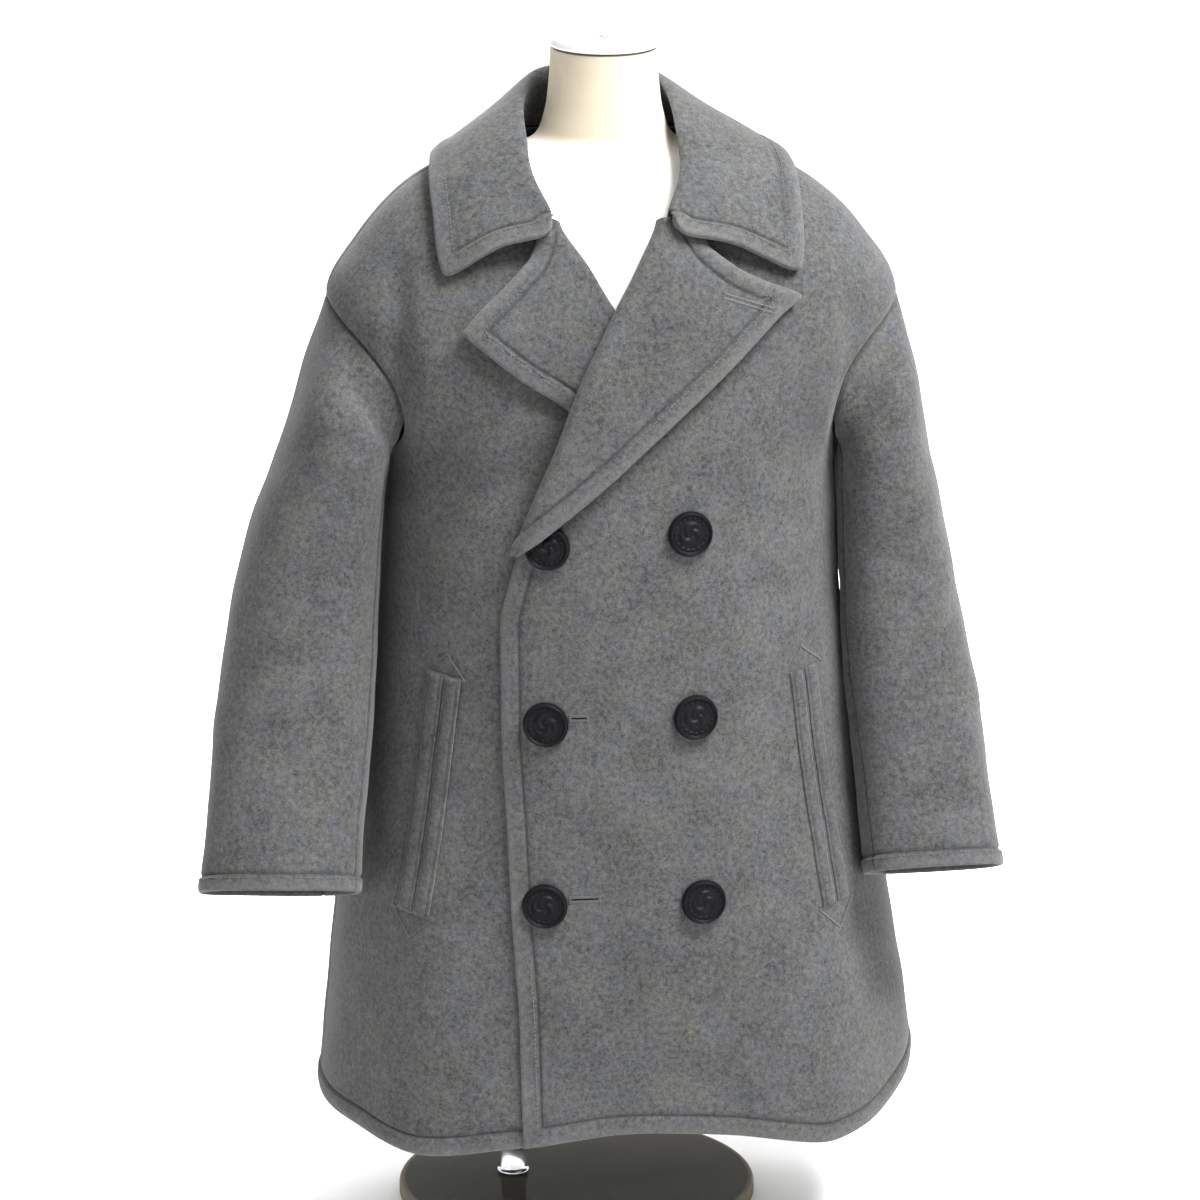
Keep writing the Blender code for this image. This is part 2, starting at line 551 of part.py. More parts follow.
def add_object(name, mesh, material):
    part = bpy.data.objects.new(name, mesh)
    part.data.materials.append(material)
    MODEL.objects.link(part)
    return part


def wall(name, outer, inner, material, keep=None):
    """Closed wall between two grids of points: both faces, and a rim round every edge of the kept cells."""
    rows, columns = outer.shape[:2]
    count = rows * columns
    index = np.arange(count).reshape(rows, columns)
    cells = np.stack([index[:-1, :-1], index[1:, :-1], index[1:, 1:], index[:-1, 1:]], -1).reshape(-1, 4)
    if keep is not None:
        cells = cells[keep.ravel()]
    faces = [tuple(cell) for cell in cells.tolist()]
    sides = {(face[k], face[(k + 1) % 4]) for face in faces for k in range(4)}
    rim = [(b, a, a + count, b + count) for a, b in sorted(sides) if (b, a) not in sides]
    backs = [tuple(corner + count for corner in face[::-1]) for face in faces]
    mesh = bpy.data.meshes.new(name)
    points = np.concatenate([outer.reshape(-1, 3), inner.reshape(-1, 3)])
    mesh.from_pydata(points.tolist(), [], faces + backs + rim)
    build = bmesh.new()
    build.from_mesh(mesh)
    bmesh.ops.delete(build, geom=[v for v in build.verts if not v.link_faces], context="VERTS")
    bmesh.ops.remove_doubles(build, verts=build.verts, dist=1e-6)
    bmesh.ops.triangulate(build, faces=build.faces)
    bmesh.ops.recalc_face_normals(build, faces=build.faces)
    if build.calc_volume(signed=True) < 0.0:
        bmesh.ops.reverse_faces(build, faces=build.faces)
    build.to_mesh(mesh)
    build.free()
    mesh.shade_smooth()
    return add_object(name, mesh, material)


def panel_levels():
    """Levels of the rows that fronts and back share: the skirt, then the armhole at the sleeve's steps."""
    skirt = np.linspace(0.0, ARMPIT_LEVEL, SKIRT_ROWS)[:-1]
    armhole = ARMHOLE_MIDDLE - np.cos(np.radians(np.arange(0.0, 181.0, 20.0)))
    return np.concatenate([skirt, armhole])


def front_levels(front):
    """Levels of a front's rows: the shared ones, and one at each corner of its lapel."""
    heights = np.array(front.corner_heights)
    edge_x, _ = edge_values(front.table, heights)
    _, corners = body_place(front.side * edge_x, heights)
    shared = panel_levels()
    near = np.abs(shared[:, None] - corners).min(axis=1) < LEVEL_SPACING
    return np.sort(np.concatenate([shared[~near], corners, FRONT_NECK_LEVELS]))


def in_lapel(front, heights):
    return (heights > front.break_z - 0.001) & (heights < LAPEL_TOP_Z + 0.001)


def inset_ends(values, gap):
    """The same steps with the first and the last pulled in by gap."""
    values = values.copy()
    values[0] += gap
    values[-1] -= gap
    return values


def make_front(name, front, material):
    levels = front_levels(front)
    columns = np.concatenate([PANEL_COLUMNS, ROLL_COLUMNS, LAPEL_COLUMNS])
    outer, normal = front_sheet(front, *np.meshgrid(columns, levels))
    _, heights = front_edge_angle(front, levels)
    keep = np.ones((len(levels) - 1, len(columns) - 1), bool)
    lapel_rows = in_lapel(front, heights)
    keep[~(lapel_rows[:-1] & lapel_rows[1:]), len(PANEL_COLUMNS) - 1 :] = False
    return wall(name, outer, outer - normal * CLOTH, material, keep)


def make_facing(name, front, material):
    """The lapel's visible face: it starts inside the roll, goes round it and covers the lapel."""
    levels = front_levels(front)
    _, heights = front_edge_angle(front, levels)
    levels = levels[in_lapel(front, heights)]
    columns = np.concatenate([ROLL_COLUMNS, LAPEL_COLUMNS])
    sheet, normal = front_sheet(front, *np.meshgrid(columns, levels))
    near = sheet - normal * (CLOTH + SEAM_GAP)
    far = sheet - normal * (2.0 * CLOTH + SEAM_GAP)
    return wall(name, far, near, material)


def make_back(material):
    levels = np.concatenate([panel_levels(), BACK_NECK_LEVELS])
    share = inset_ends(np.linspace(-1.0, 1.0, 19), SIDE_GAP)
    v, level = np.meshgrid(share, levels)
    reach = side_angle(level, ARMHOLE_REACH[1])
    angle = pi + v * reach
    outer = body(angle, level)
    inner = outer - normals(body, angle, level) * CLOTH
    return wall("back", outer, inner, material)


def make_sleeve(name, first, last, count, side, material):
    """One piece of a sleeve, between two seams that are angles round it."""
    angles = inset_ends(np.linspace(first, last, count + 1), SLEEVE_SEAM_INSET)
    down = np.linspace(1.0, len(SLEEVE_SECTIONS), SLEEVE_ROWS) / len(SLEEVE_SECTIONS)
    steps = np.concatenate([SLEEVE_TOP_STEPS, down])
    a, t = np.meshgrid(angles, steps)
    outer = sleeve(a, t, side)
    out = -normals(lambda a_, t_: sleeve(a_, t_, side), a, t)
    seam = normals(body, *sleeve_ring(a))
    match = np.clip((out * seam).sum(-1, keepdims=True), 0.0, 1.0)
    at_seam = out + SEAM_MATCH * match**2 * seam
    at_seam = at_seam / np.linalg.norm(at_seam, axis=-1, keepdims=True)
    first_row = (t == SLEEVE_TOP_STEPS[0])[..., None]
    out = np.where(first_row, at_seam, out)
    outer = outer + np.where(first_row, seam, 0.0) * SEAM_GAP
    inner = outer - out * CLOTH
    flip = np.array([side, 1.0, 1.0])
    return wall(name, outer * flip, inner * flip, material)


def make_collar(material):
    s = np.linspace(-1.0, 1.0, COLLAR_COLUMNS)
    t = np.concatenate([[COLLAR_SEAM_STEP], np.linspace(0.0, 1.0, COLLAR_STEPS)[1:]])
    s, t = np.meshgrid(s, t)
    outer = collar_sheet(s, t)
    normal = grid_normals(outer)
    inner = outer - normal * COLLAR_CLOTH
    return wall("collar", outer, inner, material)


def make_welt(name, mouth, first, last, material):
    """A pocket welt: a strip between two distances across the pocket mouth, lying on the front."""
    top, bottom = np.array(mouth)
    down = (bottom - top) / np.linalg.norm(bottom - top)
    across = np.array([-down[1], down[0]])
    share, shift = np.meshgrid(np.linspace(0.0, 1.0, 9), [first, last])
    line = top + (bottom - top) * share[..., None] + across * shift[..., None]
    angle, level = body_place(line[..., 0], line[..., 1])
    place, normal = body(angle, level), normals(body, angle, level)
    near = place + normal * WELT_STANDOFF
    return wall(name, near + normal * CLOTH, near, material)


def turned_object(name, profile, steps, material):
    """A profile of radius and height, from the top of the axis outwards and back, turned round the axis."""
    mesh = bpy.data.meshes.new(name)
    points = [(radius, 0.0, height) for radius, height in profile]
    mesh.from_pydata(points, [(i, i + 1) for i in range(len(points) - 1)], [])
    part = add_object(name, mesh, material)
    turned = part.modifiers.new("Turn", "SCREW")
    turned.steps = steps
    turned.render_steps = steps
    turned.use_merge_vertices = True
    turned.merge_threshold = 0.00001
    return part


def make_button(name, x, z, material):
    """A turned button: flat back, rounded side, raised rim and a shallow dish."""
    radius, height = BUTTON_RADIUS, BUTTON_HEIGHT
    profile = [
        (0.0, 0.55 * height),
        (0.70 * radius, 0.62 * height),
        (0.80 * radius, height),
        (0.93 * radius, height),
        (radius, 0.5 * height),
        (0.86 * radius, 0.0),
        (0.0, 0.0),
    ]
    part = turned_object(name, profile, 20, material)
    angle, level = body_place(np.array([x]), np.array([z]))
    normal = normals(body, angle, level)[0]
    part.location = body(angle, level)[0] + normal * BUTTON_STANDOFF
    sideways = np.cross((0.0, 0.0, 1.0), normal)
    sideways /= np.linalg.norm(sideways)
    upwards = np.cross(normal, sideways)
    part.rotation_euler = Matrix((sideways, upwards, normal)).transposed().to_euler()
    return part


def make_form(material):
    """The dress form: rings from the flat underside to the flat top of the neck, both closed."""
    levels = np.concatenate([np.linspace(0.0, 6.0, 11), np.linspace(6.5, len(FORM_RINGS) - 1.0, 14)])
    angles = np.linspace(0.0, 2.0 * pi, 29)[:-1]
    a, level = np.meshgrid(angles, levels)
    points = shell(FORM_RINGS, a, level)
    rows, columns = a.shape
    index = np.arange(rows * columns).reshape(rows, columns)
    ahead = np.roll(index, -1, axis=1)
    cells = np.stack([index[:-1], ahead[:-1], ahead[1:], index[1:]], -1).reshape(-1, 4)
    faces = [tuple(cell) for cell in cells.tolist()]
    faces.append(tuple(index[0, ::-1].tolist()))
    faces.append(tuple(index[-1].tolist()))
    mesh = bpy.data.meshes.new("form_torso")
    mesh.from_pydata(points.reshape(-1, 3).tolist(), [], faces)
    mesh.shade_smooth()
    return add_object("form_torso", mesh, material)


def cylinder(name, radius, bottom, top, centre, sides, material):
    mesh = bpy.data.meshes.new(name)
    build = bmesh.new()
    bmesh.ops.create_cone(
        build, cap_ends=True, segments=sides, radius1=radius, radius2=radius, depth=top - bottom
    )
    build.to_mesh(mesh)
    build.free()
    part = add_object(name, mesh, material)
    part.location = (*centre, 0.5 * (bottom + top))
    return part


def make_neck_cap(material):
    """The lid of the neck: a thin oval disc with a rounded rim and a small knob, tilted like the neck."""
    top = FORM_RINGS[-1]
    profile = [
        (0.0, 0.0085),
        (0.10, 0.0080),
        (0.13, 0.0050),
        (0.16, 0.0036),
        (0.80, 0.0030),
        (0.97, 0.0022),
        (1.0, 0.0009),
        (0.0, 0.0009),
    ]
    part = turned_object("neck_cap", profile, 28, material)
    part.scale = (top.half_width, top.back_y, 1.0)
    part.location = (top.middle_x, 0.0, 0.5 * (top.front_z + top.back_z))
    part.rotation_euler = (np.arctan2(top.back_z - top.front_z, top.back_y - top.front_y), 0.0, 0.0)
    return part


for old in list(bpy.data.objects):
    bpy.data.objects.remove(old, do_unlink=True)
MODEL = bpy.data.collections.new("pea_coat_on_dress_form")
bpy.context.scene.collection.children.link(MODEL)

wool = finish("grey_melton", (0.12, 0.12, 0.125), 0.95)
horn = finish("black_button", (0.015, 0.015, 0.02), 0.35)
jersey = finish("cream_jersey", (0.80, 0.74, 0.62), 0.85)
white = finish("white_cap", (0.85, 0.85, 0.80), 0.5)
chrome = finish("chrome", (0.75, 0.75, 0.76), 0.12, 1.0)
dark_plate = finish("dark_plate", (0.05, 0.045, 0.038), 0.3)

cylinder("base_plate", PLATE_RADIUS, 0.0, PLATE_HEIGHT, PLATE_CENTRE, 64, dark_plate)
pole_top = FORM_RINGS[0].side_z - SEAM_GAP
cylinder("pole", POLE_RADIUS, PLATE_HEIGHT + SEAM_GAP, pole_top, POLE_PLACE, 24, chrome)
make_form(jersey)
make_neck_cap(white)

make_front("front_left", LEFT_FRONT, wool)
make_front("front_right", RIGHT_FRONT, wool)
make_facing("facing_left", LEFT_FRONT, wool)
make_facing("facing_right", RIGHT_FRONT, wool)
make_back(wool)
make_collar(wool)
front_seam, back_seam = SLEEVE_SEAMS
for side_name, side in (("left", 1.0), ("right", -1.0)):
    make_sleeve(f"sleeve_upper_{side_name}", front_seam, back_seam, 14, side, wool)
    make_sleeve(f"sleeve_under_{side_name}", back_seam, front_seam + 2.0 * pi, 5, side, wool)
    mouth = WELT_MOUTHS[side_name]
    make_welt(f"welt_front_{side_name}", mouth, -side * WELT_WIDTH, -side * SEAM_GAP, wool)
    make_welt(f"welt_back_{side_name}", mouth, side * SEAM_GAP, side * WELT_WIDTH, wool)
for place_name, (button_x, button_z) in BUTTONS.items():
    make_button(f"button_{place_name}", button_x, button_z, horn)
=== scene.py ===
"""A grey melton pea coat, buttoned on a cream dress form that stands on a chrome pole and a round plate.

Metres, +Z up, the coat facing -Y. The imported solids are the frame, and every piece here is made on the same
sizes as its solid: smooth thin walls of cloth, rolled and stitched at their edges, on the solids' form.
"""

from collections import namedtuple
from math import pi, radians

import bpy
import numpy as np
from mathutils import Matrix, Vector


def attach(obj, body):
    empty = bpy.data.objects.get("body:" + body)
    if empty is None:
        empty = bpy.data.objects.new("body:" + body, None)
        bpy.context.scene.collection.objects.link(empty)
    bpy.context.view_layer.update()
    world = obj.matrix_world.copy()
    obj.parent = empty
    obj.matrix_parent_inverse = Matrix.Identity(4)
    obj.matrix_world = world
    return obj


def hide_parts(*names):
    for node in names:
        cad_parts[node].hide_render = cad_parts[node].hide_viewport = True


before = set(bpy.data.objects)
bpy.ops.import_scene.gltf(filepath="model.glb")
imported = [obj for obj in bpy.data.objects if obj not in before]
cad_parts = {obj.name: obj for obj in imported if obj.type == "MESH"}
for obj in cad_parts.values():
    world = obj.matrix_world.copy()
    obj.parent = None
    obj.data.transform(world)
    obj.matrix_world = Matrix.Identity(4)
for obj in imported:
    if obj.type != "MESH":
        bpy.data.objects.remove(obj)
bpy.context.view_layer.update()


# ---- Base plate ------------------------------------------------------------------------------------------
# A round steel plate, enamelled dark and glossy on top, with a beige band painted round its rounded rim as the
# light that catches its edge, a painted highlight. It is turned, and lies flat on the floor.
PLATE_RADIUS = 0.150
PLATE_HEIGHT = 0.012
PLATE_CENTRE = (-0.027, 0.022)
PLATE_ROUND = 0.0035
PLATE_SIDES = 160
RIM_BAND_INSET = 0.0052  # of the beige band painted on the rim as a highlight


class Socket:
    """A number that flows through a material's nodes. Python's operators on it add Math nodes."""

    def __init__(self, finish, output):
        self.finish = finish
        self.output = output

    def worked(self, operation, first, second=0.0, clamp=False):
        settings = {"operation": operation, "use_clamp": clamp}
        return self.finish.node("Math", settings, {0: first, 1: second})

    def __add__(self, other):
        return self.worked("ADD", self, other)

    def __sub__(self, other):
        return self.worked("SUBTRACT", self, other)

    def __rsub__(self, other):
        return self.worked("SUBTRACT", other, self)

    def __mul__(self, other):
        return self.worked("MULTIPLY", self, other)

    __radd__ = __add__

    def clamped(self):
        return self.worked("ADD", self, 0.0, True)

    def magnitude(self):
        return self.worked("ABSOLUTE", self)


class Finish:
    """A material: one shader, whose steady values are set on its own sockets, and the nodes that feed it."""

    def __init__(self, name, **steady):
        self.material = bpy.data.materials.new(name)
        self.material.use_nodes = True
        self.tree = self.material.node_tree
        self.shader = self.tree.nodes["Principled BSDF"]
        for socket, value in steady.items():
            self.shader.inputs[socket.replace("_", " ")].default_value = value

    def node(self, kind, settings, sockets, output=0):
        """Adds a node: its settings first, then the values or links of its sockets. Gives one output."""
        made = self.tree.nodes.new("ShaderNode" + kind)
        for name, value in settings.items():
            if name == "stops":
                ramp = made.color_ramp.elements
                ramp[0].position, ramp[0].color = value[0]
                ramp[1].position, ramp[1].color = value[-1]
                for place, colour in value[1:-1]:
                    ramp.new(place).color = colour
            else:
                setattr(made, name, value)
        for name, value in sockets.items():
            if isinstance(value, Socket):
                self.tree.links.new(value.output, made.inputs[name])
            else:
                made.inputs[name].default_value = value
        return Socket(self, made.outputs[output])

    def places(self):
        """Object coordinates, which are metres in the shared frame."""
        return self.node("TexCoord", {}, {}, "Object")

    def noise(self, vector, scale, detail=2.0, roughness=0.5):
        sockets = {"Vector": vector, "Scale": scale, "Detail": detail, "Roughness": roughness}
        return self.node("TexNoise", {}, sockets, "Fac")

    def between(self, share, first, second):
        """The colour at share of the way from the first to the second."""
        return self.node("Mix", {"data_type": "RGBA"}, {0: share, 6: first, 7: second}, 2)

    def axis(self, vector, name):
        return self.node("SeparateXYZ", {}, {0: vector}, name)

    def feed(self, **fed):
        for socket, value in fed.items():
            self.tree.links.new(value.output, self.shader.inputs[socket.replace("_", " ")])

    def bump(self, height, distance, strength=1.0):
        sockets = {"Height": height, "Distance": distance, "Strength": strength}
        self.feed(Normal=self.node("Bump", {}, sockets))


def add_piece(name, points, faces, finish):
    """A smooth mesh object at the origin, from an array of points and an array or a list of faces."""
    mesh = bpy.data.meshes.new(name)
    mesh.from_pydata(points.tolist(), [], faces.tolist() if hasattr(faces, "tolist") else faces)
    mesh.validate()
    mesh.shade_smooth()
    mesh.materials.append(finish.material)
    piece = bpy.data.objects.new(name, mesh)
    bpy.context.scene.collection.objects.link(piece)
    return piece


def placed(piece, node=None):
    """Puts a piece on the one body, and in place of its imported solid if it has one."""
    if node:
        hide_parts(node)
    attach(piece, "root")


def belts(rings, sides, rising=False):
    """Numbers of the points of closed rings, and the quads between each ring and the next. They look outwards
    where the rings go down, and with rising where they go up."""
    index = np.arange(rings * sides).reshape(rings, sides)
    ahead = np.roll(index, -1, axis=1)
    quads = np.stack([index[:-1], index[1:], ahead[1:], ahead[:-1]], -1).reshape(-1, 4)
    return index, np.roll(quads[:, ::-1], 1, axis=1) if rising else quads


def barrel(grid, rising=False):
    """Points and faces of closed rings of points, with a flat face over the first ring and over the last."""
    index, quads = belts(*grid.shape[:2], rising)
    ends = [index[0, ::-1], index[-1]] if rising else [index[0], index[-1, ::-1]]
    return grid.reshape(-1, 3), quads.tolist() + [end.tolist() for end in ends]


def turned(profile, sides):
    """Points and faces of a profile of (radius, height) rows, carried once round the axis. The first and the
    last row lie on the axis, so each gives one point and a fan of triangles. The profile runs from the top
    of the axis outwards and down to the foot of the axis."""
    profile = np.asarray(profile, float)
    around = np.linspace(0.0, 2.0 * pi, sides, endpoint=False)
    rings = profile[1:-1]
    x = rings[:, :1] * np.cos(around)
    y = rings[:, :1] * np.sin(around)
    z = np.repeat(rings[:, 1:], sides, axis=1)
    points = np.stack([x, y, z], -1).reshape(-1, 3)
    index, quads = belts(len(rings), sides)
    top, foot = len(points), len(points) + 1
    ends = np.array([(0.0, 0.0, profile[0, 1]), (0.0, 0.0, profile[-1, 1])])
    fans = [(top, a, b) for a, b in zip(index[0].tolist(), np.roll(index[0], -1).tolist())]
    fans += [(foot, b, a) for a, b in zip(index[-1].tolist(), np.roll(index[-1], -1).tolist())]
    return np.concatenate([points, ends]), quads.tolist() + fans


def quarter(centre, radius, first, last, count):
    """Rows of an arc in a profile, round its centre, between two angles in degrees."""
    a = np.radians(np.linspace(first, last, count))
    return [(centre[0] + radius * np.cos(t), centre[1] + radius * np.sin(t)) for t in a]


plate_paint = Finish("dark_enamel", Specular_IOR_Level=0.0, Coat_Weight=0.16, Coat_Roughness=0.05)
place = plate_paint.places()
offset = plate_paint.node("VectorMath", {"operation": "SUBTRACT"}, {0: place, 1: (*PLATE_CENTRE, 0.0)})
flat = plate_paint.node("VectorMath", {"operation": "MULTIPLY"}, {0: offset, 1: (1.0, 1.0, 0.0)})
reach = plate_paint.node("VectorMath", {"operation": "LENGTH"}, {0: flat}, "Value")
speck = plate_paint.noise(place, 260.0, 4.0, 0.7)
cloud = plate_paint.noise(place, 14.0, 3.0, 0.5)
enamel = plate_paint.between(cloud, (0.0560, 0.0540, 0.0455, 1.0), (0.0880, 0.0850, 0.0720, 1.0))
# Painted highlight: a pale beige band round the rounded rim stands for the light that catches its edge; the band
# is also a little rougher.
lit_rim_band = (reach - (PLATE_RADIUS - RIM_BAND_INSET) + (speck - 0.5) * 0.0016) * 900.0
plate_paint.feed(
    Base_Color=plate_paint.between(lit_rim_band.clamped(), enamel, (0.150, 0.130, 0.098, 1.0)),
    Roughness=0.16 + speck * 0.10 + lit_rim_band.clamped() * 0.25,
)
plate_paint.bump(speck, 0.00006)

plate_points, plate_faces = turned(
    [(0.0, PLATE_HEIGHT), (PLATE_RADIUS * 0.5, PLATE_HEIGHT), (PLATE_RADIUS - 0.012, PLATE_HEIGHT)]
    + quarter((PLATE_RADIUS - PLATE_ROUND, PLATE_HEIGHT - PLATE_ROUND), PLATE_ROUND, 90, 0, 9)
    + quarter((PLATE_RADIUS - 0.001, 0.001), 0.001, 0, -90, 4)
    + [(0.0, 0.0)],
    PLATE_SIDES,
)
base_plate = add_piece("plate", plate_points + (*PLATE_CENTRE, 0.0), plate_faces, plate_paint)
placed(base_plate, "base_plate")


# ---- Pole ------------------------------------------------------------------------------------------------
# A chromed steel tube from the plate up into the form, with a thin rolled foot ring. Brushed lightly round,
# with a few rub marks, it stands to one side of the plate's middle and a little behind it.
POLE_RADIUS = 0.0115
POLE_PLACE = (-0.080, 0.034)
POLE_FOOT = PLATE_HEIGHT + 0.0002
POLE_TOP = 0.2547
POLE_SIDES = 72

chrome = Finish("chrome", Base_Color=(0.78, 0.78, 0.80, 1.0), Metallic=1.0)
place = chrome.places()
rings = chrome.node("Mapping", {"vector_type": "POINT"}, {"Vector": place, "Scale": (40.0, 40.0, 900.0)})
brushed = chrome.noise(rings, 1.0, 2.0, 0.6)
rubbed = chrome.noise(place, 30.0, 3.0, 0.6)
chrome.feed(Roughness=0.09 + brushed * 0.05 + rubbed * 0.06)
chrome.bump(brushed, 0.00003)

pole_points, pole_faces = turned(
    [(0.0, POLE_TOP), (POLE_RADIUS - 0.0008, POLE_TOP), (POLE_RADIUS, POLE_TOP - 0.0008)]
    + [(POLE_RADIUS, z) for z in np.linspace(POLE_TOP - 0.004, POLE_FOOT + 0.006, 14)]
    + quarter((POLE_RADIUS, POLE_FOOT + 0.0022), 0.0022, 60, -90, 10)
    + [(0.0, POLE_FOOT)],
    POLE_SIDES,
)
pole = add_piece("tube", pole_points + (*POLE_PLACE, 0.0), pole_faces, chrome)
placed(pole, "pole")


# ---- Dress form ------------------------------------------------------------------------------------------
# A limbless torso of moulded foam, covered tightly in cream cotton jersey, with a seam down the middle of
# its front and back. The body and the neck are one smooth loft of ovals on the table's levels.
Ring = namedtuple("Ring", "half_width side_y side_z front_y front_z back_y back_z square middle_x")
FORM_RINGS = (
    Ring(0.140, 0.005, 0.255, -0.098, 0.255, 0.108, 0.255, 2.1, 0.000),
    Ring(0.150, 0.005, 0.330, -0.106, 0.330, 0.116, 0.330, 2.1, 0.000),
    Ring(0.136, 0.005, 0.410, -0.098, 0.410, 0.098, 0.410, 2.1, 0.000),
    Ring(0.122, 0.003, 0.500, -0.092, 0.500, 0.082, 0.500, 2.1, 0.000),
    Ring(0.140, 0.003, 0.600, -0.108, 0.600, 0.092, 0.600, 2.2, 0.000),
    Ring(0.156, 0.003, 0.690, -0.112, 0.690, 0.100, 0.690, 2.3, 0.000),
    Ring(0.162, 0.000, 0.765, -0.102, 0.755, 0.098, 0.760, 2.3, 0.000),
    Ring(0.158, 0.000, 0.825, -0.0885, 0.805, 0.088, 0.815, 2.3, 0.000),
    Ring(0.1235, 0.000, 0.8825, -0.071, 0.847, 0.066, 0.868, 2.2, -0.003),
    Ring(0.0865, 0.000, 0.8955, -0.056, 0.873, 0.052, 0.888, 2.1, -0.005),
    Ring(0.0580, 0.000, 0.9030, -0.047, 0.890, 0.045, 0.898, 2.0, -0.006),
    Ring(0.0480, 0.000, 0.9220, -0.045, 0.916, 0.045, 0.922, 2.0, -0.006),
    Ring(0.0440, 0.000, 0.9500, -0.045, 0.947, 0.046, 0.951, 2.0, -0.006),
    Ring(0.0425, 0.000, 0.9765, -0.047, 0.9745, 0.047, 0.9785, 2.0, -0.006),  # top of the neck
)
FORM_COLUMNS, FORM_ROWS = 120, 150
NECK_TOP, NECK_SLOPE, NECK_X = 0.9765, 0.0426, -0.006  # of the cut top, and the middle of the neck
# Height below which the chest is painted lighter as lit from above, half the width of the middle seam, and the
# height and front edge of the painted shadow under the cap.
LIT_CHEST_Z, NECK_SEAM_HALF, LID_SHADOW, LID_SHADOW_Y = 0.908, 0.0011, 0.0024, -0.006


def ramp(value, low, high):
    """0 below low, 1 above high and a smooth rise between them."""
    f = np.clip((value - low) / (high - low), 0.0, 1.0)
    return f * f * (3.0 - 2.0 * f)


def cubic(f, here, ahead, slope_here, slope_ahead):
    """Point at f from 0 to 1 on the cubic curve from one point to the next, with these slopes at them."""
    start = (1.0 + 2.0 * f) * (1.0 - f) ** 2 * here + f * (1.0 - f) ** 2 * slope_here
    return start + f * f * (3.0 - 2.0 * f) * ahead + f * f * (f - 1.0) * slope_ahead


def hump(distance, width):
    """Bell curve: 1 where the distance is none, and 1 / e at this width."""
    return np.exp(-((distance / width) ** 2))


def spline(rows, t):
    """Smooth curve through the rows, t counting rows: cubic pieces, each row's slope taken across it."""
    rows = np.asarray(rows, float)
    slopes = np.gradient(rows, axis=0)
    i = np.clip(np.floor(t).astype(int), 0, len(rows) - 2)
    return cubic((t - i)[..., None], rows[i], rows[i + 1], slopes[i], slopes[i + 1])


def rounded(value, square):
    """A sine or cosine bent so that the two of them draw an oval of this squareness, 2 for an ellipse."""
    return np.sign(value) * np.abs(value) ** (2.0 / square)


def rings_at(rings, level):
    return Ring(*np.moveaxis(spline(rings, level), -1, 0))


def shell(rings, angle, level):
    """Point of a ring table's surface: a rounded oval at each level, angle 0 in front and pi / 2 at +X. Its
    height goes from the front's or the back's to the side's with the sine squared."""
    ring = rings_at(rings, level)
    sine, cosine = np.sin(angle), np.cos(angle)
    in_front = cosine > 0.0
    end_y = np.where(in_front, ring.front_y, ring.back_y)
    end_z = np.where(in_front, ring.front_z, ring.back_z)
    x = ring.middle_x + ring.half_width * rounded(sine, ring.square)
    y = ring.side_y + (end_y - ring.side_y) * np.abs(rounded(cosine, ring.square))
    z = end_z + (ring.side_z - end_z) * sine * sine
    return np.stack([x, y, z], -1)


jersey = Finish("cream_jersey", Roughness=0.88, Sheen_Weight=0.18, Sheen_Roughness=0.5)
place = jersey.places()
ribs = jersey.node("Mapping", {"vector_type": "POINT"}, {"Vector": place, "Scale": (1500.0, 1500.0, 900.0)})
knit = jersey.noise(ribs, 1.0, 2.0, 0.55)
shade = jersey.noise(place, 9.0, 3.0, 0.5)
cream = jersey.between(shade, (0.290, 0.246, 0.180, 1.0), (0.318, 0.275, 0.208, 1.0))
height = jersey.axis(place, "Z")
# Painted light: the jersey is lighter below the neck, on the chest, which faces the light from above.
lit_chest = jersey.between(((LIT_CHEST_Z - height) * 55.0).clamped(), cream, (0.62, 0.61, 0.57, 1.0))
# Painted shadow: a thin near-black band round the top of the neck at its front, just under the cap's rim, where
# the cap shades it.
from_top = height - NECK_TOP - jersey.axis(place, "Y") * NECK_SLOPE
shadowed = (from_top + LID_SHADOW) * 1100.0
lid_shadow_share = shadowed.clamped() * ((LID_SHADOW_Y - jersey.axis(place, "Y")) * 90.0).clamped()
middle = (NECK_SEAM_HALF - (jersey.axis(place, "X") - NECK_X).magnitude()) * 1400.0
seamed = jersey.between(middle.clamped() * 0.10 + knit * 0.10, lit_chest, (0.21, 0.185, 0.14, 1.0))
jersey.feed(Base_Color=jersey.between(lid_shadow_share, seamed, (0.020, 0.018, 0.014, 1.0)))
jersey.bump(knit, 0.0002, 0.5)

form_angles = np.linspace(0.0, 2.0 * pi, FORM_COLUMNS, endpoint=False)
form_levels = np.linspace(0.0, len(FORM_RINGS) - 1.0, FORM_ROWS)
form_grid = shell(FORM_RINGS, *np.meshgrid(form_angles, form_levels))
torso = add_piece("torso", *barrel(form_grid, rising=True), jersey)
torso.data.set_sharp_from_angle(angle=radians(50.0))
placed(torso, "form_torso")


# ---- Neck cap --------------------------------------------------------------------------------------------
# The neck's white lid: a thin moulded disc under two soft gathered lobes of white cover cloth, pinched
# together at a small bright knob. It tilts forwards as the neck's cut top does.
CAP_RADIUS_X, CAP_RADIUS_Y = 0.0435, 0.0478
CAP_TILT = np.arctan2(0.004, 0.094)
CAP_CENTRE = np.array([NECK_X, 0.0, NECK_TOP])
CAP_RIM = 0.0030
LOBE_HEIGHT = 0.0046
KNOB_RADIUS, KNOB_MIDDLE = 0.0042, 0.0046
CAP_ROWS, CAP_RIM_ROWS, CAP_SIDES, KNOB_SIDES = 34, 9, 96, 32


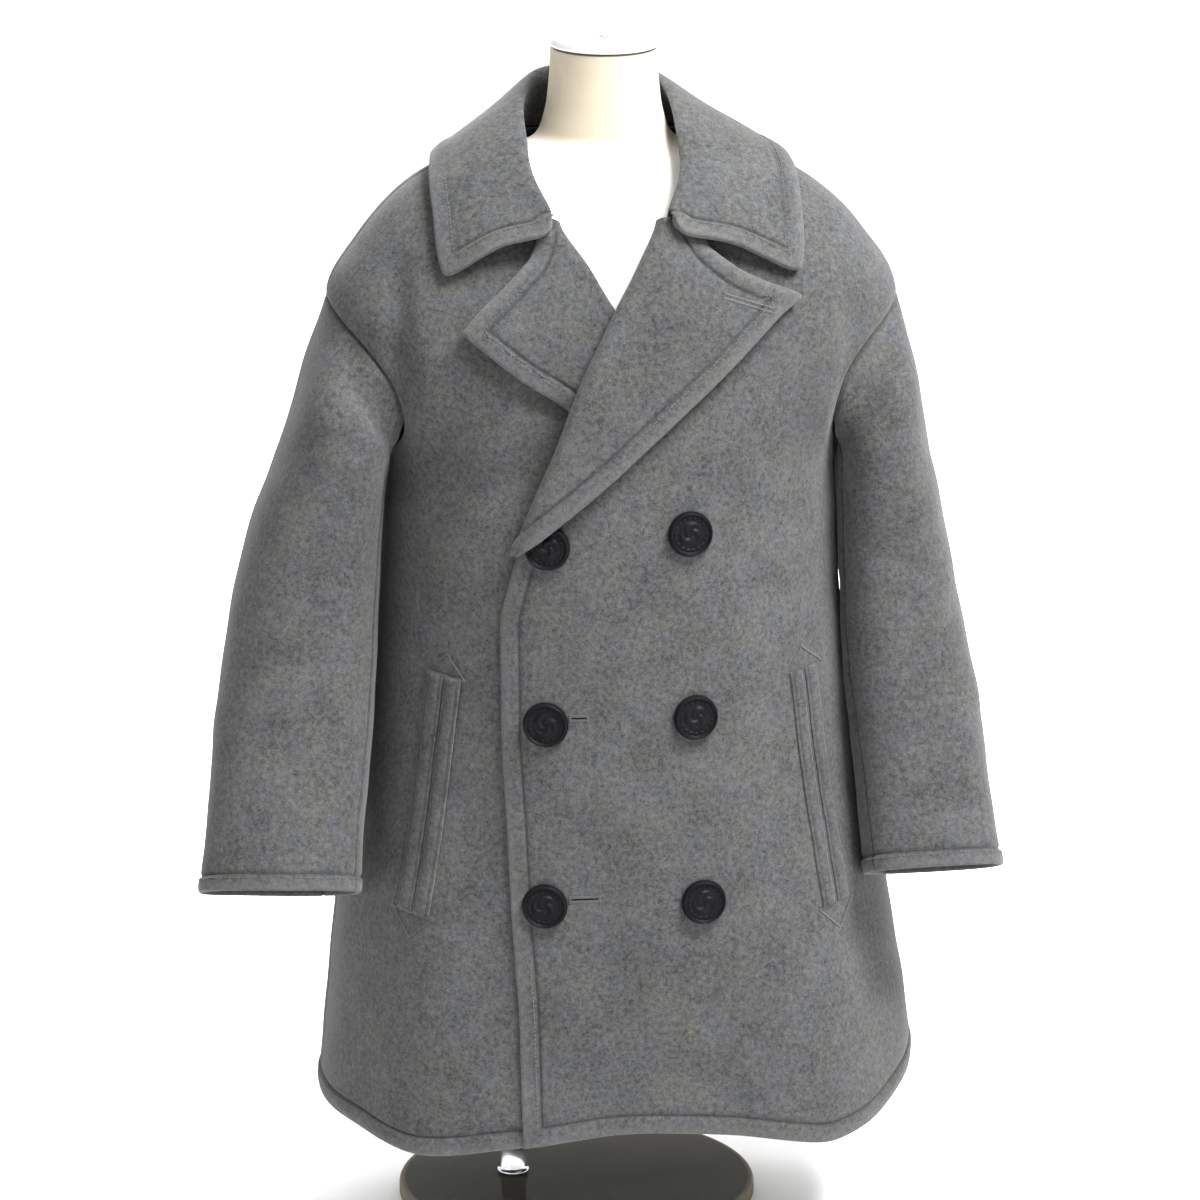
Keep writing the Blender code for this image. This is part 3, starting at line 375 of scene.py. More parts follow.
def cap_grid(share, around):
    """Top of the cap: a disc whose height swells in two lobes, left and right, with soft radial gathers that
    fade towards the rim. share goes from 0 at the middle to 1 at the rim."""
    x, y = share * np.cos(around), share * np.sin(around)
    lobes = LOBE_HEIGHT * np.abs(np.cos(around)) ** 0.7 * np.sin(pi * np.clip(share * 1.02, 0.0, 1.0)) ** 0.8
    gathers = 0.00045 * np.sin(13.0 * around + 2.0 * share) * np.sin(pi * share)
    z = CAP_RIM * (1.0 - ramp(share, 0.90, 1.0)) + lobes + gathers
    return np.stack([CAP_RADIUS_X * x, CAP_RADIUS_Y * y, z + 0.0004], -1)


def tilted(points):
    """Points of the cap turned to the neck's cut top and moved onto it."""
    x, y, z = np.moveaxis(points, -1, 0)
    c, s = np.cos(CAP_TILT), np.sin(CAP_TILT)
    return np.stack([x, y * c - z * s, y * s + z * c], -1) + CAP_CENTRE


cap_white = Finish("cap_cover", Roughness=0.55, Sheen_Weight=0.1)
place = cap_white.places()
yarn = cap_white.noise(place, 1400.0, 2.0, 0.6)
stain = cap_white.noise(place, 45.0, 3.0, 0.5)
cap_white.feed(
    Base_Color=cap_white.between(stain, (0.205, 0.205, 0.192, 1.0), (0.245, 0.245, 0.236, 1.0)),
)
cap_white.bump(yarn, 0.00012, 0.6)

cap_share = np.concatenate([np.linspace(0.02, 0.9, CAP_ROWS), np.linspace(0.91, 1.0, CAP_RIM_ROWS)])
cap_around = np.linspace(0.0, 2.0 * pi, CAP_SIDES, endpoint=False)
cap_top = cap_grid(*np.meshgrid(cap_share, cap_around, indexing="ij"))
cap_foot = np.stack([cap_top[-1, :, 0], cap_top[-1, :, 1], np.full(CAP_SIDES, 0.0001)], -1)
cap_rows = tilted(np.concatenate([cap_top, cap_foot[None]]))
cap = add_piece("cap", *barrel(cap_rows), cap_white)
cap.data.set_sharp_from_angle(angle=radians(60.0))
placed(cap, "neck_cap")

knob_points, knob_faces = turned(
    [(0.0, 0.0088)]
    + quarter((0.0, KNOB_MIDDLE), KNOB_RADIUS, 85, -20, 12)
    + [(0.0026, 0.0018), (0.0, 0.0012)],
    KNOB_SIDES,
)
knob = add_piece("cap_knob", tilted(knob_points), knob_faces, chrome)
placed(knob)


# ---- Cloth of the coat, and its back ---------------------------------------------------------------------
# Heavy melton: grey wool, fulled and napped so that no weave shows, with dark and light fibres mixed. The
# back is one piece from the neck to the hem, hanging in soft folds, its hem turned up and stitched once.
CLOTH = 0.0025
TINY = 1e-4
ARMPIT_LEVEL, SHOULDER_LEVEL, NECK_LEVEL = 6.0, 8.0, 13.0
ARMHOLE_MIDDLE = 0.5 * (ARMPIT_LEVEL + SHOULDER_LEVEL)
ARMHOLE_REACH = np.radians((34.0, 30.0))
COAT_RINGS = (
    Ring(0.2470, 0.010, 0.100, -0.165, 0.112, 0.172, 0.104, 2.3, 0.0045),  # hem
    Ring(0.2385, 0.014, 0.200, -0.163, 0.200, 0.163, 0.200, 2.3, 0.0045),
    Ring(0.2250, 0.020, 0.300, -0.160, 0.300, 0.150, 0.300, 2.3, 0.0025),
    Ring(0.2060, 0.024, 0.400, -0.156, 0.400, 0.140, 0.400, 2.3, 0.001),
    Ring(0.1930, 0.024, 0.500, -0.152, 0.500, 0.132, 0.500, 2.3, 0.000),
    Ring(0.1850, 0.022, 0.600, -0.148, 0.600, 0.128, 0.600, 2.3, 0.000),
    Ring(0.1820, 0.016, 0.655, -0.143, 0.655, 0.126, 0.655, 2.4, 0.000),  # armpit
    Ring(0.2080, 0.008, 0.715, -0.136, 0.705, 0.122, 0.710, 2.5, 0.000),
    Ring(0.2300, 0.000, 0.776, -0.127, 0.755, 0.115, 0.765, 2.4, 0.000),  # shoulder point
    Ring(0.2060, 0.000, 0.824, -0.115, 0.795, 0.105, 0.810, 2.4, 0.000),
    Ring(0.1700, 0.000, 0.863, -0.101, 0.830, 0.090, 0.850, 2.3, -0.001),
    Ring(0.1250, 0.000, 0.888, -0.084, 0.862, 0.075, 0.880, 2.2, -0.003),
    Ring(0.0880, 0.000, 0.901, -0.068, 0.881, 0.062, 0.894, 2.1, -0.005),
    Ring(0.0700, 0.000, 0.908, -0.058, 0.892, 0.055, 0.901, 2.0, -0.006),  # neckline
)
Fold = namedtuple("Fold", "angle depth width low high")
FOLDS = (
    Fold(-40.0, 0.0110, 17.0, 0.08, 0.40),
    Fold(0.0, -0.0040, 17.0, 0.08, 0.34),
    Fold(37.0, 0.0110, 17.0, 0.08, 0.42),
    Fold(66.0, 0.0040, 11.0, 0.08, 0.38),
    Fold(-112.0, 0.0060, 16.0, 0.08, 0.50),
    Fold(118.0, 0.0080, 17.0, 0.08, 0.52),
    Fold(152.0, -0.0050, 14.0, 0.08, 0.48),
    Fold(-150.0, -0.0050, 14.0, 0.08, 0.48),
    Fold(180.0, 0.0040, 16.0, 0.08, 0.45),
)
HemRow = namedtuple("HemRow", "angle z")
HEM_ROWS = (
    HemRow(-180.0, 0.104),
    HemRow(-130.0, 0.102),
    HemRow(-86.0, 0.103),
    HemRow(-60.0, 0.102),
    HemRow(-40.0, 0.0915),
    HemRow(-20.0, 0.1005),
    HemRow(0.0, 0.1145),
    HemRow(18.0, 0.1085),
    HemRow(36.0, 0.0935),
    HemRow(52.0, 0.103),
    HemRow(66.0, 0.122),
    HemRow(84.0, 0.134),
    HemRow(120.0, 0.120),
    HemRow(150.0, 0.107),
    HemRow(180.0, 0.104),
)
HEM_FADE = 1.6
HEM_SOFTNESS = 3.0  # degrees over which the hem's own rows blend

# Edges: a puffed band between the edge and its one row of stitches, which lies in a pressed groove
HEM_INSET = 0.0135
BAND_PUFF = 0.0013
GROOVE_DEPTH = 0.0013
GROOVE_WIDTH = 0.0014
BAND_FULLNESS = 0.7
EDGE_ROUND = 0.0022
EDGE_CLOSING = 0.96  # how nearly the two faces meet at the edge
STITCH_WIDTH, HIGHLIGHT_REACH = 0.0013, 0.012  # of the painted shade along the stitches, and of the painted highlight beside the edge
SEAM_ROUND = 0.0026  # how far from a plain seam the cloth dips into it
SEAM_DIP = 0.0011
# How dark the painted shade along a seam is, and its width.
SEAM_SHADE, SEAM_WIDTH = 0.8, 0.0010

# Distances from a stitched edge at which a cloth grid has rows, then even steps
EDGE_MILLIMETRES = (
    *(0.0, 0.3, 0.8, 1.5, 2.3, 3.4, 4.8, 6.4, 8.0, 9.4, 10.6),
    *(11.6, 12.5, 13.3, 14.1, 14.8, 15.5, 16.3, 17.2, 18.4, 20.5, 24.0),
)
EDGE_STEPS = np.array(EDGE_MILLIMETRES) / 1000.0
SEAM_STEPS = np.array([0.0, 0.5, 1.1, 1.8, 2.7, 4.0]) / 1000.0
HEM_STEP, CLIMB_ROWS, ARMHOLE_ROWS, NECK_ROWS = 0.1, 112, 44, 56  # metres to a level at the hem, and rows
NEAREST_AT_ONCE, LANDED_AT_ONCE = 4000, 200  # points, so that tables of distances stay small


def blurred(rows, steps, softness):
    """Values of a table at even steps, joined by straight lines and then softened by a bell curve."""
    rows = np.array(rows, float)
    step = steps[1] - steps[0]
    reach = int(np.ceil(3.0 * softness / step))
    bell = np.exp(-0.5 * (np.arange(-reach, reach + 1) * step / softness) ** 2)
    values = np.interp(steps, rows[:, 0], rows[:, 1])
    return np.convolve(np.pad(values, reach, mode="edge"), bell / bell.sum(), "valid")


HEM_TURNS = np.linspace(-180.0, 180.0, 721)
HEM_HEIGHTS = blurred(HEM_ROWS, HEM_TURNS, HEM_SOFTNESS)


def turn_from(direction, angle):
    """Degrees from a direction in degrees to an angle in radians, at most half a turn either way."""
    return np.degrees(np.angle(np.exp(1j * (angle - np.radians(direction)))))


def hem_rise(angle):
    """How far the hem's own height is above its ring's height at this angle."""
    turn = turn_from(0.0, angle)
    ring_z = shell(COAT_RINGS, angle, np.zeros_like(angle))[..., 2]
    return np.interp(turn, HEM_TURNS, HEM_HEIGHTS) - ring_z


def body(angle, level):
    """The coat's outer surface: the ring table's surface, moved out and in by the skirt's folds, which are
    bell curves round the body that fade out upwards, with its lowest rows at the hem's own heights."""
    angle, level = np.broadcast_arrays(np.asarray(angle, float), np.asarray(level, float))
    points = shell(COAT_RINGS, angle, level)
    out = np.zeros_like(angle)
    for fold in FOLDS:
        turn = turn_from(fold.angle, angle)
        fade = 1.0 - ramp(points[..., 2], fold.low + 0.1, fold.high)
        out = out + fold.depth * hump(turn, fold.width) * fade
    points[..., 0] += out * np.sin(angle)
    points[..., 1] -= out * np.cos(angle)
    points[..., 2] += hem_rise(angle) * (1.0 - ramp(level, 0.0, HEM_FADE))
    return points


def unit(vectors):
    return vectors / np.maximum(np.linalg.norm(vectors, axis=-1, keepdims=True), 1e-12)


def normals(surface, a, b):
    """Unit normals of surface(a, b), on the side that the cross product of its two slopes points to."""
    along_a = surface(a + TINY, b) - surface(a - TINY, b)
    along_b = surface(a, b + TINY) - surface(a, b - TINY)
    return unit(np.cross(along_a, along_b))


def side_angle(level, reach):
    """Angle of the panels' outer edge, before the side seam at pi / 2: the armhole is half an oval."""
    share = np.clip(1.0 - (level - ARMHOLE_MIDDLE) ** 2, 0.0, 1.0)
    return pi / 2.0 - reach * np.sqrt(share)


def from_line(points, line):
    """Distance of each point from a line of points: from the nearest one's two neighbouring stretches."""
    flat = points.reshape(-1, 3)
    nearest = np.empty(len(flat), int)
    for start in range(0, len(flat), NEAREST_AT_ONCE):
        part = flat[start : start + NEAREST_AT_ONCE]
        square = (part**2).sum(1)[:, None] + (line**2).sum(1)[None] - 2.0 * part @ line.T
        nearest[start : start + len(part)] = square.argmin(1)
    best = np.full(len(flat), np.inf)
    for first, second in ((nearest - 1, nearest), (nearest, nearest + 1)):
        a = line[np.clip(first, 0, len(line) - 1)]
        along = line[np.clip(second, 0, len(line) - 1)] - a
        share = ((flat - a) * along).sum(1) / np.maximum((along**2).sum(1), 1e-14)
        best = np.minimum(best, np.linalg.norm(flat - a - along * np.clip(share, 0.0, 1.0)[:, None], axis=1))
    return best.reshape(points.shape[:-1])


def waves(points):
    """Shallow uneven dimples of hanging wool: a few long sine waves that cross, under a millimetre high."""
    x, y, z = np.moveaxis(points, -1, 0)
    first = np.sin(41.0 * x + 23.0 * z + 9.0 * y) * np.sin(17.0 * z - 29.0 * x + 1.3)
    second = np.sin(73.0 * z + 31.0 * y + 0.7) * np.sin(57.0 * x - 38.0 * z + 2.1)
    return 0.0008 * first + 0.0004 * second


def raised(distance, inset):
    """Height of the cloth's face near a stitched edge: a puffed band that ends in the stitches' groove."""
    band = BAND_PUFF * np.sin(pi * np.clip(distance / inset, 0.0, 1.0)) ** BAND_FULLNESS
    return band - GROOVE_DEPTH * hump(distance - inset, GROOVE_WIDTH)


def cloth(name, sheet, normal, thickness, edges, seams, finish, keep=None, height=0.0, puffed=1.0):
    """A closed wall of cloth on a grid of points. edges are lists of a line, its stitches' inset and the part of
    the grid it belongs to, where the wall swells and closes in a round lip; seams are lines where its face dips,
    and puffed is where it swells at all. Gives the piece and its outer grid, with two painted marks as its
    attributes: stitch, painted shade in the stitches' grooves and along the seams, and edge, a painted highlight
    on the band beside each edge."""
    drape = np.broadcast_to(np.asarray(height, float), sheet.shape[:-1]) * puffed
    out = drape + waves(sheet) * puffed
    stitch = np.zeros(sheet.shape[:-1])
    edge_highlight = np.zeros(sheet.shape[:-1])
    closing = np.zeros(sheet.shape[:-1])
    for line, inset, *own in edges:
        distance = from_line(sheet, line)
        if own:
            distance = np.where(own[0], distance, 1.0)
        out = out + raised(distance, inset) * puffed
        # Painted shade along the stitches' groove, and a painted highlight on the band beside the edge, where its
        # puffed roll catches the light.
        stitch = np.maximum(stitch, hump(distance - inset, STITCH_WIDTH))
        edge_highlight = np.maximum(edge_highlight, 1.0 - ramp(distance, 0.0, HIGHLIGHT_REACH))
        lip = np.clip(1.0 - distance / EDGE_ROUND, 0.0, 1.0)
        closing = np.maximum(closing, 1.0 - np.sqrt(1.0 - EDGE_CLOSING * lip * lip))
    for line in seams:
        distance = from_line(sheet, line)
        dip = 1.0 - ramp(distance, 0.0, SEAM_ROUND)
        out = out - SEAM_DIP * dip
        # Painted shade in the seam's dip.
        stitch = np.maximum(stitch, SEAM_SHADE * hump(distance, SEAM_WIDTH))
    outer = sheet + normal * (out - 0.5 * thickness * closing)[..., None]
    inner = sheet + normal * (drape - thickness * (1.0 - 0.5 * closing))[..., None]
    rows, columns = sheet.shape[:2]
    count = rows * columns
    index = np.arange(count).reshape(rows, columns)
    cells = np.stack([index[:-1, :-1], index[1:, :-1], index[1:, 1:], index[:-1, 1:]], -1).reshape(-1, 4)
    if keep is not None:
        cells = cells[keep.ravel()]
    sides = np.concatenate([cells[:, [k, (k + 1) % 4]] for k in range(4)])
    lonely = ~np.isin(sides[:, 0] * count + sides[:, 1], sides[:, 1] * count + sides[:, 0])
    a, b = sides[lonely].T
    rim = np.stack([b, a, a + count, b + count], -1)
    faces = np.concatenate([cells, cells[:, ::-1] + count, rim])
    points = np.concatenate([outer.reshape(-1, 3), inner.reshape(-1, 3)])
    used, faces = np.unique(faces, return_inverse=True)
    faces = faces.reshape(-1, 4)
    piece = add_piece(name, points[used], faces, finish)
    for attribute, values in (("stitch", stitch), ("edge", edge_highlight)):
        both = np.concatenate([values.ravel(), values.ravel()])[used]
        piece.data.attributes.new(attribute, "FLOAT", "POINT").data.foreach_set("value", both)
    faced_out(piece, outer.reshape(-1, 3), normal.reshape(-1, 3), cells)
    return piece, outer


def faced_out(piece, outer, normal, cells):
    """Turns every face of a wall round if its outer cells look away from the cloth's outer side."""
    diagonals = outer[cells[:, 2]] - outer[cells[:, 0]], outer[cells[:, 3]] - outer[cells[:, 1]]
    if (np.cross(*diagonals) * normal[cells[:, 0]]).sum() < 0.0:
        piece.data.flip_normals()


def sewn(piece, node):
    """Puts a piece of the coat in place of its solid."""
    placed(piece, node)


melton = Finish("grey_melton", Roughness=0.95, Sheen_Weight=0.08, Sheen_Roughness=0.45, IOR=1.35)
place = melton.places()
fibre = melton.noise(place, 620.0, 3.0, 0.62)
mottle = melton.noise(place, 250.0, 3.0, 0.6)
patch = melton.noise(place, 28.0, 3.0, 0.55)
tint = melton.noise(place, 46.0, 2.0, 0.5)
grey = (fibre - 0.5) * 1.15 + (mottle - 0.5) * 1.5 + (patch - 0.5) * 0.62 + 0.5
cool = melton.between(grey.clamped(), (0.0080, 0.0084, 0.0096, 1.0), (0.0520, 0.0532, 0.0570, 1.0))
warm = melton.between(grey.clamped(), (0.0084, 0.0085, 0.0079, 1.0), (0.0540, 0.0544, 0.0504, 1.0))
wool = melton.between(((tint - 0.5) * 3.2 + 0.5).clamped(), cool, warm)
# Painted highlight: the cloth is lighter on the band beside each edge, where the puffed roll catches the light.
edge_highlight = melton.node("Attribute", {"attribute_name": "edge"}, {}, "Fac")
shaded_grooves = melton.node("Attribute", {"attribute_name": "stitch"}, {}, "Fac")
highlighted_wool = melton.between(edge_highlight * 0.26, wool, (0.092, 0.092, 0.090, 1.0))
# Painted shade: the cloth is darker in the stitches' grooves and along the seams.
melton.feed(Base_Color=melton.between(shaded_grooves * 0.62, highlighted_wool, (0.0080, 0.0083, 0.0090, 1.0)))
nap = fibre * 0.65 + mottle * 0.35
melton.bump(nap, 0.0011, 0.75)


def body_rows():
    """Levels of a body panel's rows: fine over the stitched hem, even up to the armpit, then crowded towards
    both ends of the armhole's half oval, and even again up to the neck."""
    hem = EDGE_STEPS / HEM_STEP
    climb = np.linspace(hem[-1], ARMPIT_LEVEL, CLIMB_ROWS)[1:-1]
    armhole = ARMHOLE_MIDDLE - np.cos(np.linspace(0.0, pi, ARMHOLE_ROWS))
    neck = np.linspace(SHOULDER_LEVEL, NECK_LEVEL - 0.01, NECK_ROWS)[1:]
    return np.concatenate([hem, climb, armhole, neck])


BACK_HALF, BACK_EVEN, BACK_END, BACK_COLUMNS = 0.28, 0.98, 0.9994, 112
back_seam_shares = 1.0 - SEAM_STEPS[::-1] / BACK_HALF
back_even_shares = np.linspace(-BACK_EVEN, BACK_EVEN, BACK_COLUMNS)
back_shares = np.concatenate([-back_seam_shares[::-1], back_even_shares, back_seam_shares])
back_shares[[0, -1]] = (-BACK_END, BACK_END)
back_v, back_level = np.meshgrid(back_shares, body_rows())
back_angle = pi + back_v * side_angle(back_level, ARMHOLE_REACH[1])
back_sheet = body(back_angle, back_level)
back_normal = normals(body, back_angle, back_level)
back_piece, back_outer = cloth(
    "cloth_back",
    back_sheet,
    back_normal,
    CLOTH,
    [(back_sheet[0], HEM_INSET)],
    [back_sheet[:, 0], back_sheet[:, -1]],
    melton,
)
sewn(back_piece, "back")


# ---- Fronts ----------------------------------------------------------------------------------------------
# The wearer's left front laps over the right, and each turns back as a wide lapel above its break. A front
# is one piece of melton from the side seam round its rolled edge to the under side of the lapel.
SEAM_GAP = 0.0003
BREAK_Z, RIGHT_BREAK_Z = 0.590, 0.640
LAPEL_TOP_Z, GORGE_Z = 0.8475, 0.852
UNDER_DEPTH, LAPEL_DEPTH, LAPEL_DEPTH_RISE = 0.0037, 0.0130, 0.060
UNDER_REACH, UNDER_LEVEL = 0.060, 0.012
ROLL_START, ROLL_RISE, LAPEL_CROWN, LAPEL_STAND = 0.3, 0.010, 0.002, 0.0042
STAND_ACROSS, STAND_LOW, STAND_HIGH, STAND_BESIDE = (0.3, 1.0), (0.62, 0.70), (0.800, 0.838), (0.014, 0.036)
BUTTON_LIFT_LOW, BUTTON_LIFT_HIGH = 0.62, 0.68
EDGE_INSET = 0.0155
CORRECTIONS, LEVEL_HEIGHT, NEAR_LEVEL = 14, 0.045, 0.006
EDGE_SOFTNESS, TIP_SOFTNESS = 0.006, 0.0022
EdgeRow = namedtuple("EdgeRow", "z edge_x outer_x")
LEFT_EDGE = (
    EdgeRow(0.100, -0.0845, -0.0845),
    EdgeRow(0.220, -0.0875, -0.0875),
    EdgeRow(0.300, -0.0930, -0.0930),
    EdgeRow(0.440, -0.1000, -0.1000),
    EdgeRow(0.540, -0.1005, -0.1005),
    EdgeRow(BREAK_Z, -0.0870, -0.0855),
    EdgeRow(0.6000, -0.0790, -0.0710),
    EdgeRow(0.6180, -0.0720, -0.0500),
    EdgeRow(0.650, -0.0595, -0.0125),
    EdgeRow(0.699, -0.0385, 0.0415),
    EdgeRow(0.735, -0.0235, 0.0808),
    EdgeRow(0.775, -0.0035, 0.1225),
    EdgeRow(0.7875, 0.0030, 0.1410),  # tip of the lapel
    EdgeRow(0.7990, 0.0100, 0.1115),
    EdgeRow(0.8095, 0.0160, 0.0895),
    EdgeRow(0.8260, 0.0255, 0.0680),
    EdgeRow(0.8370, 0.0315, 0.0615),
    EdgeRow(LAPEL_TOP_Z, 0.0375, 0.0575),
    EdgeRow(GORGE_Z, 0.0350, 0.0350),
    EdgeRow(0.870, 0.0445, 0.0445),
    EdgeRow(0.885, 0.0510, 0.0510),
    EdgeRow(0.900, 0.0545, 0.0545),
    EdgeRow(0.915, 0.0555, 0.0555),
)
RIGHT_EDGE = (
    EdgeRow(0.100, -0.082, -0.082),
    EdgeRow(0.300, -0.088, -0.088),
    EdgeRow(0.560, -0.088, -0.088),
    EdgeRow(RIGHT_BREAK_Z, -0.062, -0.060),
    EdgeRow(0.670, -0.046, 0.000),
    EdgeRow(0.706, -0.030, 0.046),
    EdgeRow(0.7305, -0.0160, 0.0830),
    EdgeRow(0.7645, 0.0020, 0.1265),  # tip of the lapel
    EdgeRow(0.780, 0.0110, 0.1130),
    EdgeRow(0.798, 0.0230, 0.0935),
    EdgeRow(0.819, 0.0385, 0.0735),
    EdgeRow(0.834, 0.0500, 0.0665),
    EdgeRow(0.844, 0.0575, 0.0680),
    EdgeRow(LAPEL_TOP_Z, 0.0600, 0.0690),
    EdgeRow(GORGE_Z, 0.0560, 0.0560),
    EdgeRow(0.870, 0.067, 0.067),
    EdgeRow(0.885, 0.0705, 0.0705),
    EdgeRow(0.900, 0.070, 0.070),
    EdgeRow(0.915, 0.069, 0.069),
)
EDGE_HEIGHTS = np.arange(0.080, 0.930, 0.0005)


def softened(table):
    """A front's edge and free edge at even heights, with their corners a little rounded."""
    rows = np.array(table)
    edge = blurred(rows[:, :2], EDGE_HEIGHTS, EDGE_SOFTNESS)
    free = blurred(rows[:, [0, 2]], EDGE_HEIGHTS, TIP_SOFTNESS)
    return edge, free


LEFT_LINES, RIGHT_LINES = softened(LEFT_EDGE), softened(RIGHT_EDGE)


def edge_values(lines, z):
    return np.interp(z, EDGE_HEIGHTS, lines[0]), np.interp(z, EDGE_HEIGHTS, lines[1])


def angle_at(x, level):
    """Angle at which the level has this x, in front."""
    ring = rings_at(COAT_RINGS, level)
    share = np.clip((x - ring.middle_x) / ring.half_width, -1.0, 1.0)
    return np.arcsin(np.sign(share) * np.abs(share) ** (ring.square / 2.0))


def body_place(x, z):
    """Angle and level of the front of the body at x and height z, found by repeated correction."""
    x, z = np.broadcast_arrays(np.asarray(x, float), np.asarray(z, float))
    front_z = np.array([ring.front_z for ring in COAT_RINGS])
    level = np.interp(z, front_z, np.arange(len(COAT_RINGS)))
    for _ in range(CORRECTIONS):
        miss = shell(COAT_RINGS, angle_at(x, level), level)[..., 2] - z
        level = np.clip(level - miss / LEVEL_HEIGHT, 0.0, NECK_LEVEL)
    return angle_at(x, level), level


def front_edge_angle(front, level):
    """Angle and height of the front edge or roll line at this level, by repeated correction."""
    level = np.asarray(level, float)
    z = rings_at(COAT_RINGS, level).front_z
    for _ in range(CORRECTIONS):
        edge_x, _ = edge_values(front.lines, z)
        angle = angle_at(front.side * edge_x, level)
        z = shell(COAT_RINGS, angle, level)[..., 2]
    return angle, z


def under_depth(x, z):
    """How far the right front lies under the body surface at x and z, for the left front to lie over it.
    Above the break its own turned lapel also goes in between."""
    edge_x, _ = edge_values(LEFT_LINES, z)
    depth = UNDER_DEPTH + LAPEL_DEPTH * ramp(z, BREAK_Z, BREAK_Z + LAPEL_DEPTH_RISE)
    return depth * ramp(x - edge_x, -UNDER_REACH, -UNDER_LEVEL)


def no_depth(x, z):
    return np.zeros_like(x * z)


Front = namedtuple("Front", "side lines depth_of break_z roll_radius lapel_lift button_lift")
LEFT_FRONT = Front(1.0, LEFT_LINES, no_depth, BREAK_Z, 0.0034, 0.0020, 0.0046)
RIGHT_FRONT = Front(-1.0, RIGHT_LINES, under_depth, RIGHT_BREAK_Z, 0.0030, 0.0018, 0.0)


def chest(front, x, z):
    """Outer face of a front at x and z, and its normal."""
    angle, level = body_place(x, z)
    normal = normals(body, angle, level)
    return body(angle, level) - normal * front.depth_of(x, z)[..., None], normal


def lapel_stand(front, x, z):
    """How far a lapel's free edge stands off the chest: nothing near the gorge, and on the left nothing near
    the break, on the right nothing where the left front lies on it."""
    edge_x, _ = edge_values(LEFT_LINES, z)
    free = ramp(z, *STAND_LOW) if front.side > 0.0 else ramp(edge_x - x, *STAND_BESIDE)
    return LAPEL_STAND * free * (1.0 - ramp(z, *STAND_HIGH))


def front_sheet(front, u, level):
    """Outer face of a front and its normals: u from 0 at the side seam to 1 at the front edge or roll line,
    to 2 half round the roll, and to 3 at the lapel's free edge, where the outer face looks at the chest."""
    u, level = np.broadcast_arrays(np.asarray(u, float), np.asarray(level, float))
    edge_angle, lapel_z = front_edge_angle(front, level)
    start = front.side * side_angle(level, ARMHOLE_REACH[0])
    angle = start + (edge_angle - start) * np.minimum(u, 1.0)
    panel, panel_normal = body(angle, level), normals(body, angle, level)
    panel = panel - panel_normal * front.depth_of(panel[..., 0], panel[..., 2])[..., None]

    across = np.clip(u - 2.0, 0.0, 1.0)
    edge_x, outer_x = edge_values(front.lines, lapel_z)
    base, normal = chest(front, front.side * (edge_x + (outer_x - edge_x) * across), lapel_z)
    rolled = ramp(lapel_z, front.break_z, front.break_z + ROLL_RISE)
    radius = front.roll_radius * (ROLL_START + (1.0 - ROLL_START) * rolled)
    clear = ramp(lapel_z, BUTTON_LIFT_LOW, BUTTON_LIFT_HIGH)
    lift = front.lapel_lift + front.button_lift * (1.0 - clear)
    turn = pi * np.clip(u - 1.0, 0.0, 1.0)
    lift = lift + lapel_stand(front, base[..., 0], lapel_z) * ramp(across, *STAND_ACROSS)
    height = radius * (1.0 - np.cos(turn)) + (lift - 2.0 * radius) * across
    height = height + LAPEL_CROWN * np.sin(pi * across)
    lapel = base + normal * height[..., None]
    lapel[..., 0] -= front.side * radius * np.sin(turn)
    sideways = np.stack([-front.side * np.sin(turn), 0.0 * turn, 0.0 * turn], -1)
    lapel_normal = unit(normal * np.cos(turn)[..., None] - sideways)
    folded = (u > 1.0)[..., None]
    return np.where(folded, lapel, panel), np.where(folded, lapel_normal, panel_normal)


# Soft creases of a front: a trough and the ridge inside it, from the shoulder down beside the armhole,
# and shallow drags below the lapel. Each runs between two points, x counted from the middle to its side.
Crease = namedtuple("Crease", "top_x top_z foot_x foot_z depth width")
CREASE_BEGINS, CREASE_ENDS = (-0.08, 0.25), (0.70, 1.10)
SIDE_FADE = (0.001, 0.016)  # from the side seam, over which the creases come in
LEFT_CREASES = (
    Crease(0.186, 0.800, 0.196, 0.650, 0.0040, 0.013),
    Crease(0.160, 0.790, 0.168, 0.560, -0.0022, 0.018),
    Crease(0.030, 0.575, 0.150, 0.560, 0.0011, 0.010),
    Crease(0.110, 0.420, 0.126, 0.240, 0.0016, 0.024),
    Crease(0.020, 0.400, 0.010, 0.200, -0.0014, 0.028),
)
RIGHT_CREASES = (
    Crease(0.176, 0.830, 0.186, 0.640, 0.0062, 0.012),
    Crease(0.156, 0.830, 0.163, 0.580, -0.0030, 0.016),
    Crease(0.100, 0.640, 0.160, 0.590, 0.0012, 0.014),
    Crease(0.120, 0.440, 0.112, 0.230, 0.0014, 0.026),
)


def creased(points, creases, side):
    """Height of the creases: a bell curve across each line, which fades at both of its ends."""
    x, z = side * points[..., 0], points[..., 2]
    height = np.zeros(x.shape)
    for crease in creases:
        along = np.array([crease.foot_x - crease.top_x, crease.foot_z - crease.top_z])
        length = np.hypot(*along)
        along = along / length
        share = ((x - crease.top_x) * along[0] + (z - crease.top_z) * along[1]) / length
        off = (x - crease.top_x) * along[1] - (z - crease.top_z) * along[0]
        ends = ramp(share, *CREASE_BEGINS) * (1.0 - ramp(share, *CREASE_ENDS))
        height = height - crease.depth * hump(off, crease.width) * ends
    return height


def widths(front, levels):
    """Length of each row of a front's panel, from the side seam to the front edge."""
    u, level = np.meshgrid(np.linspace(0.0, 1.0, WIDTH_COLUMNS), levels)
    points, _ = front_sheet(front, u, level)
    return np.linalg.norm(np.diff(points, axis=1), axis=2).sum(1)


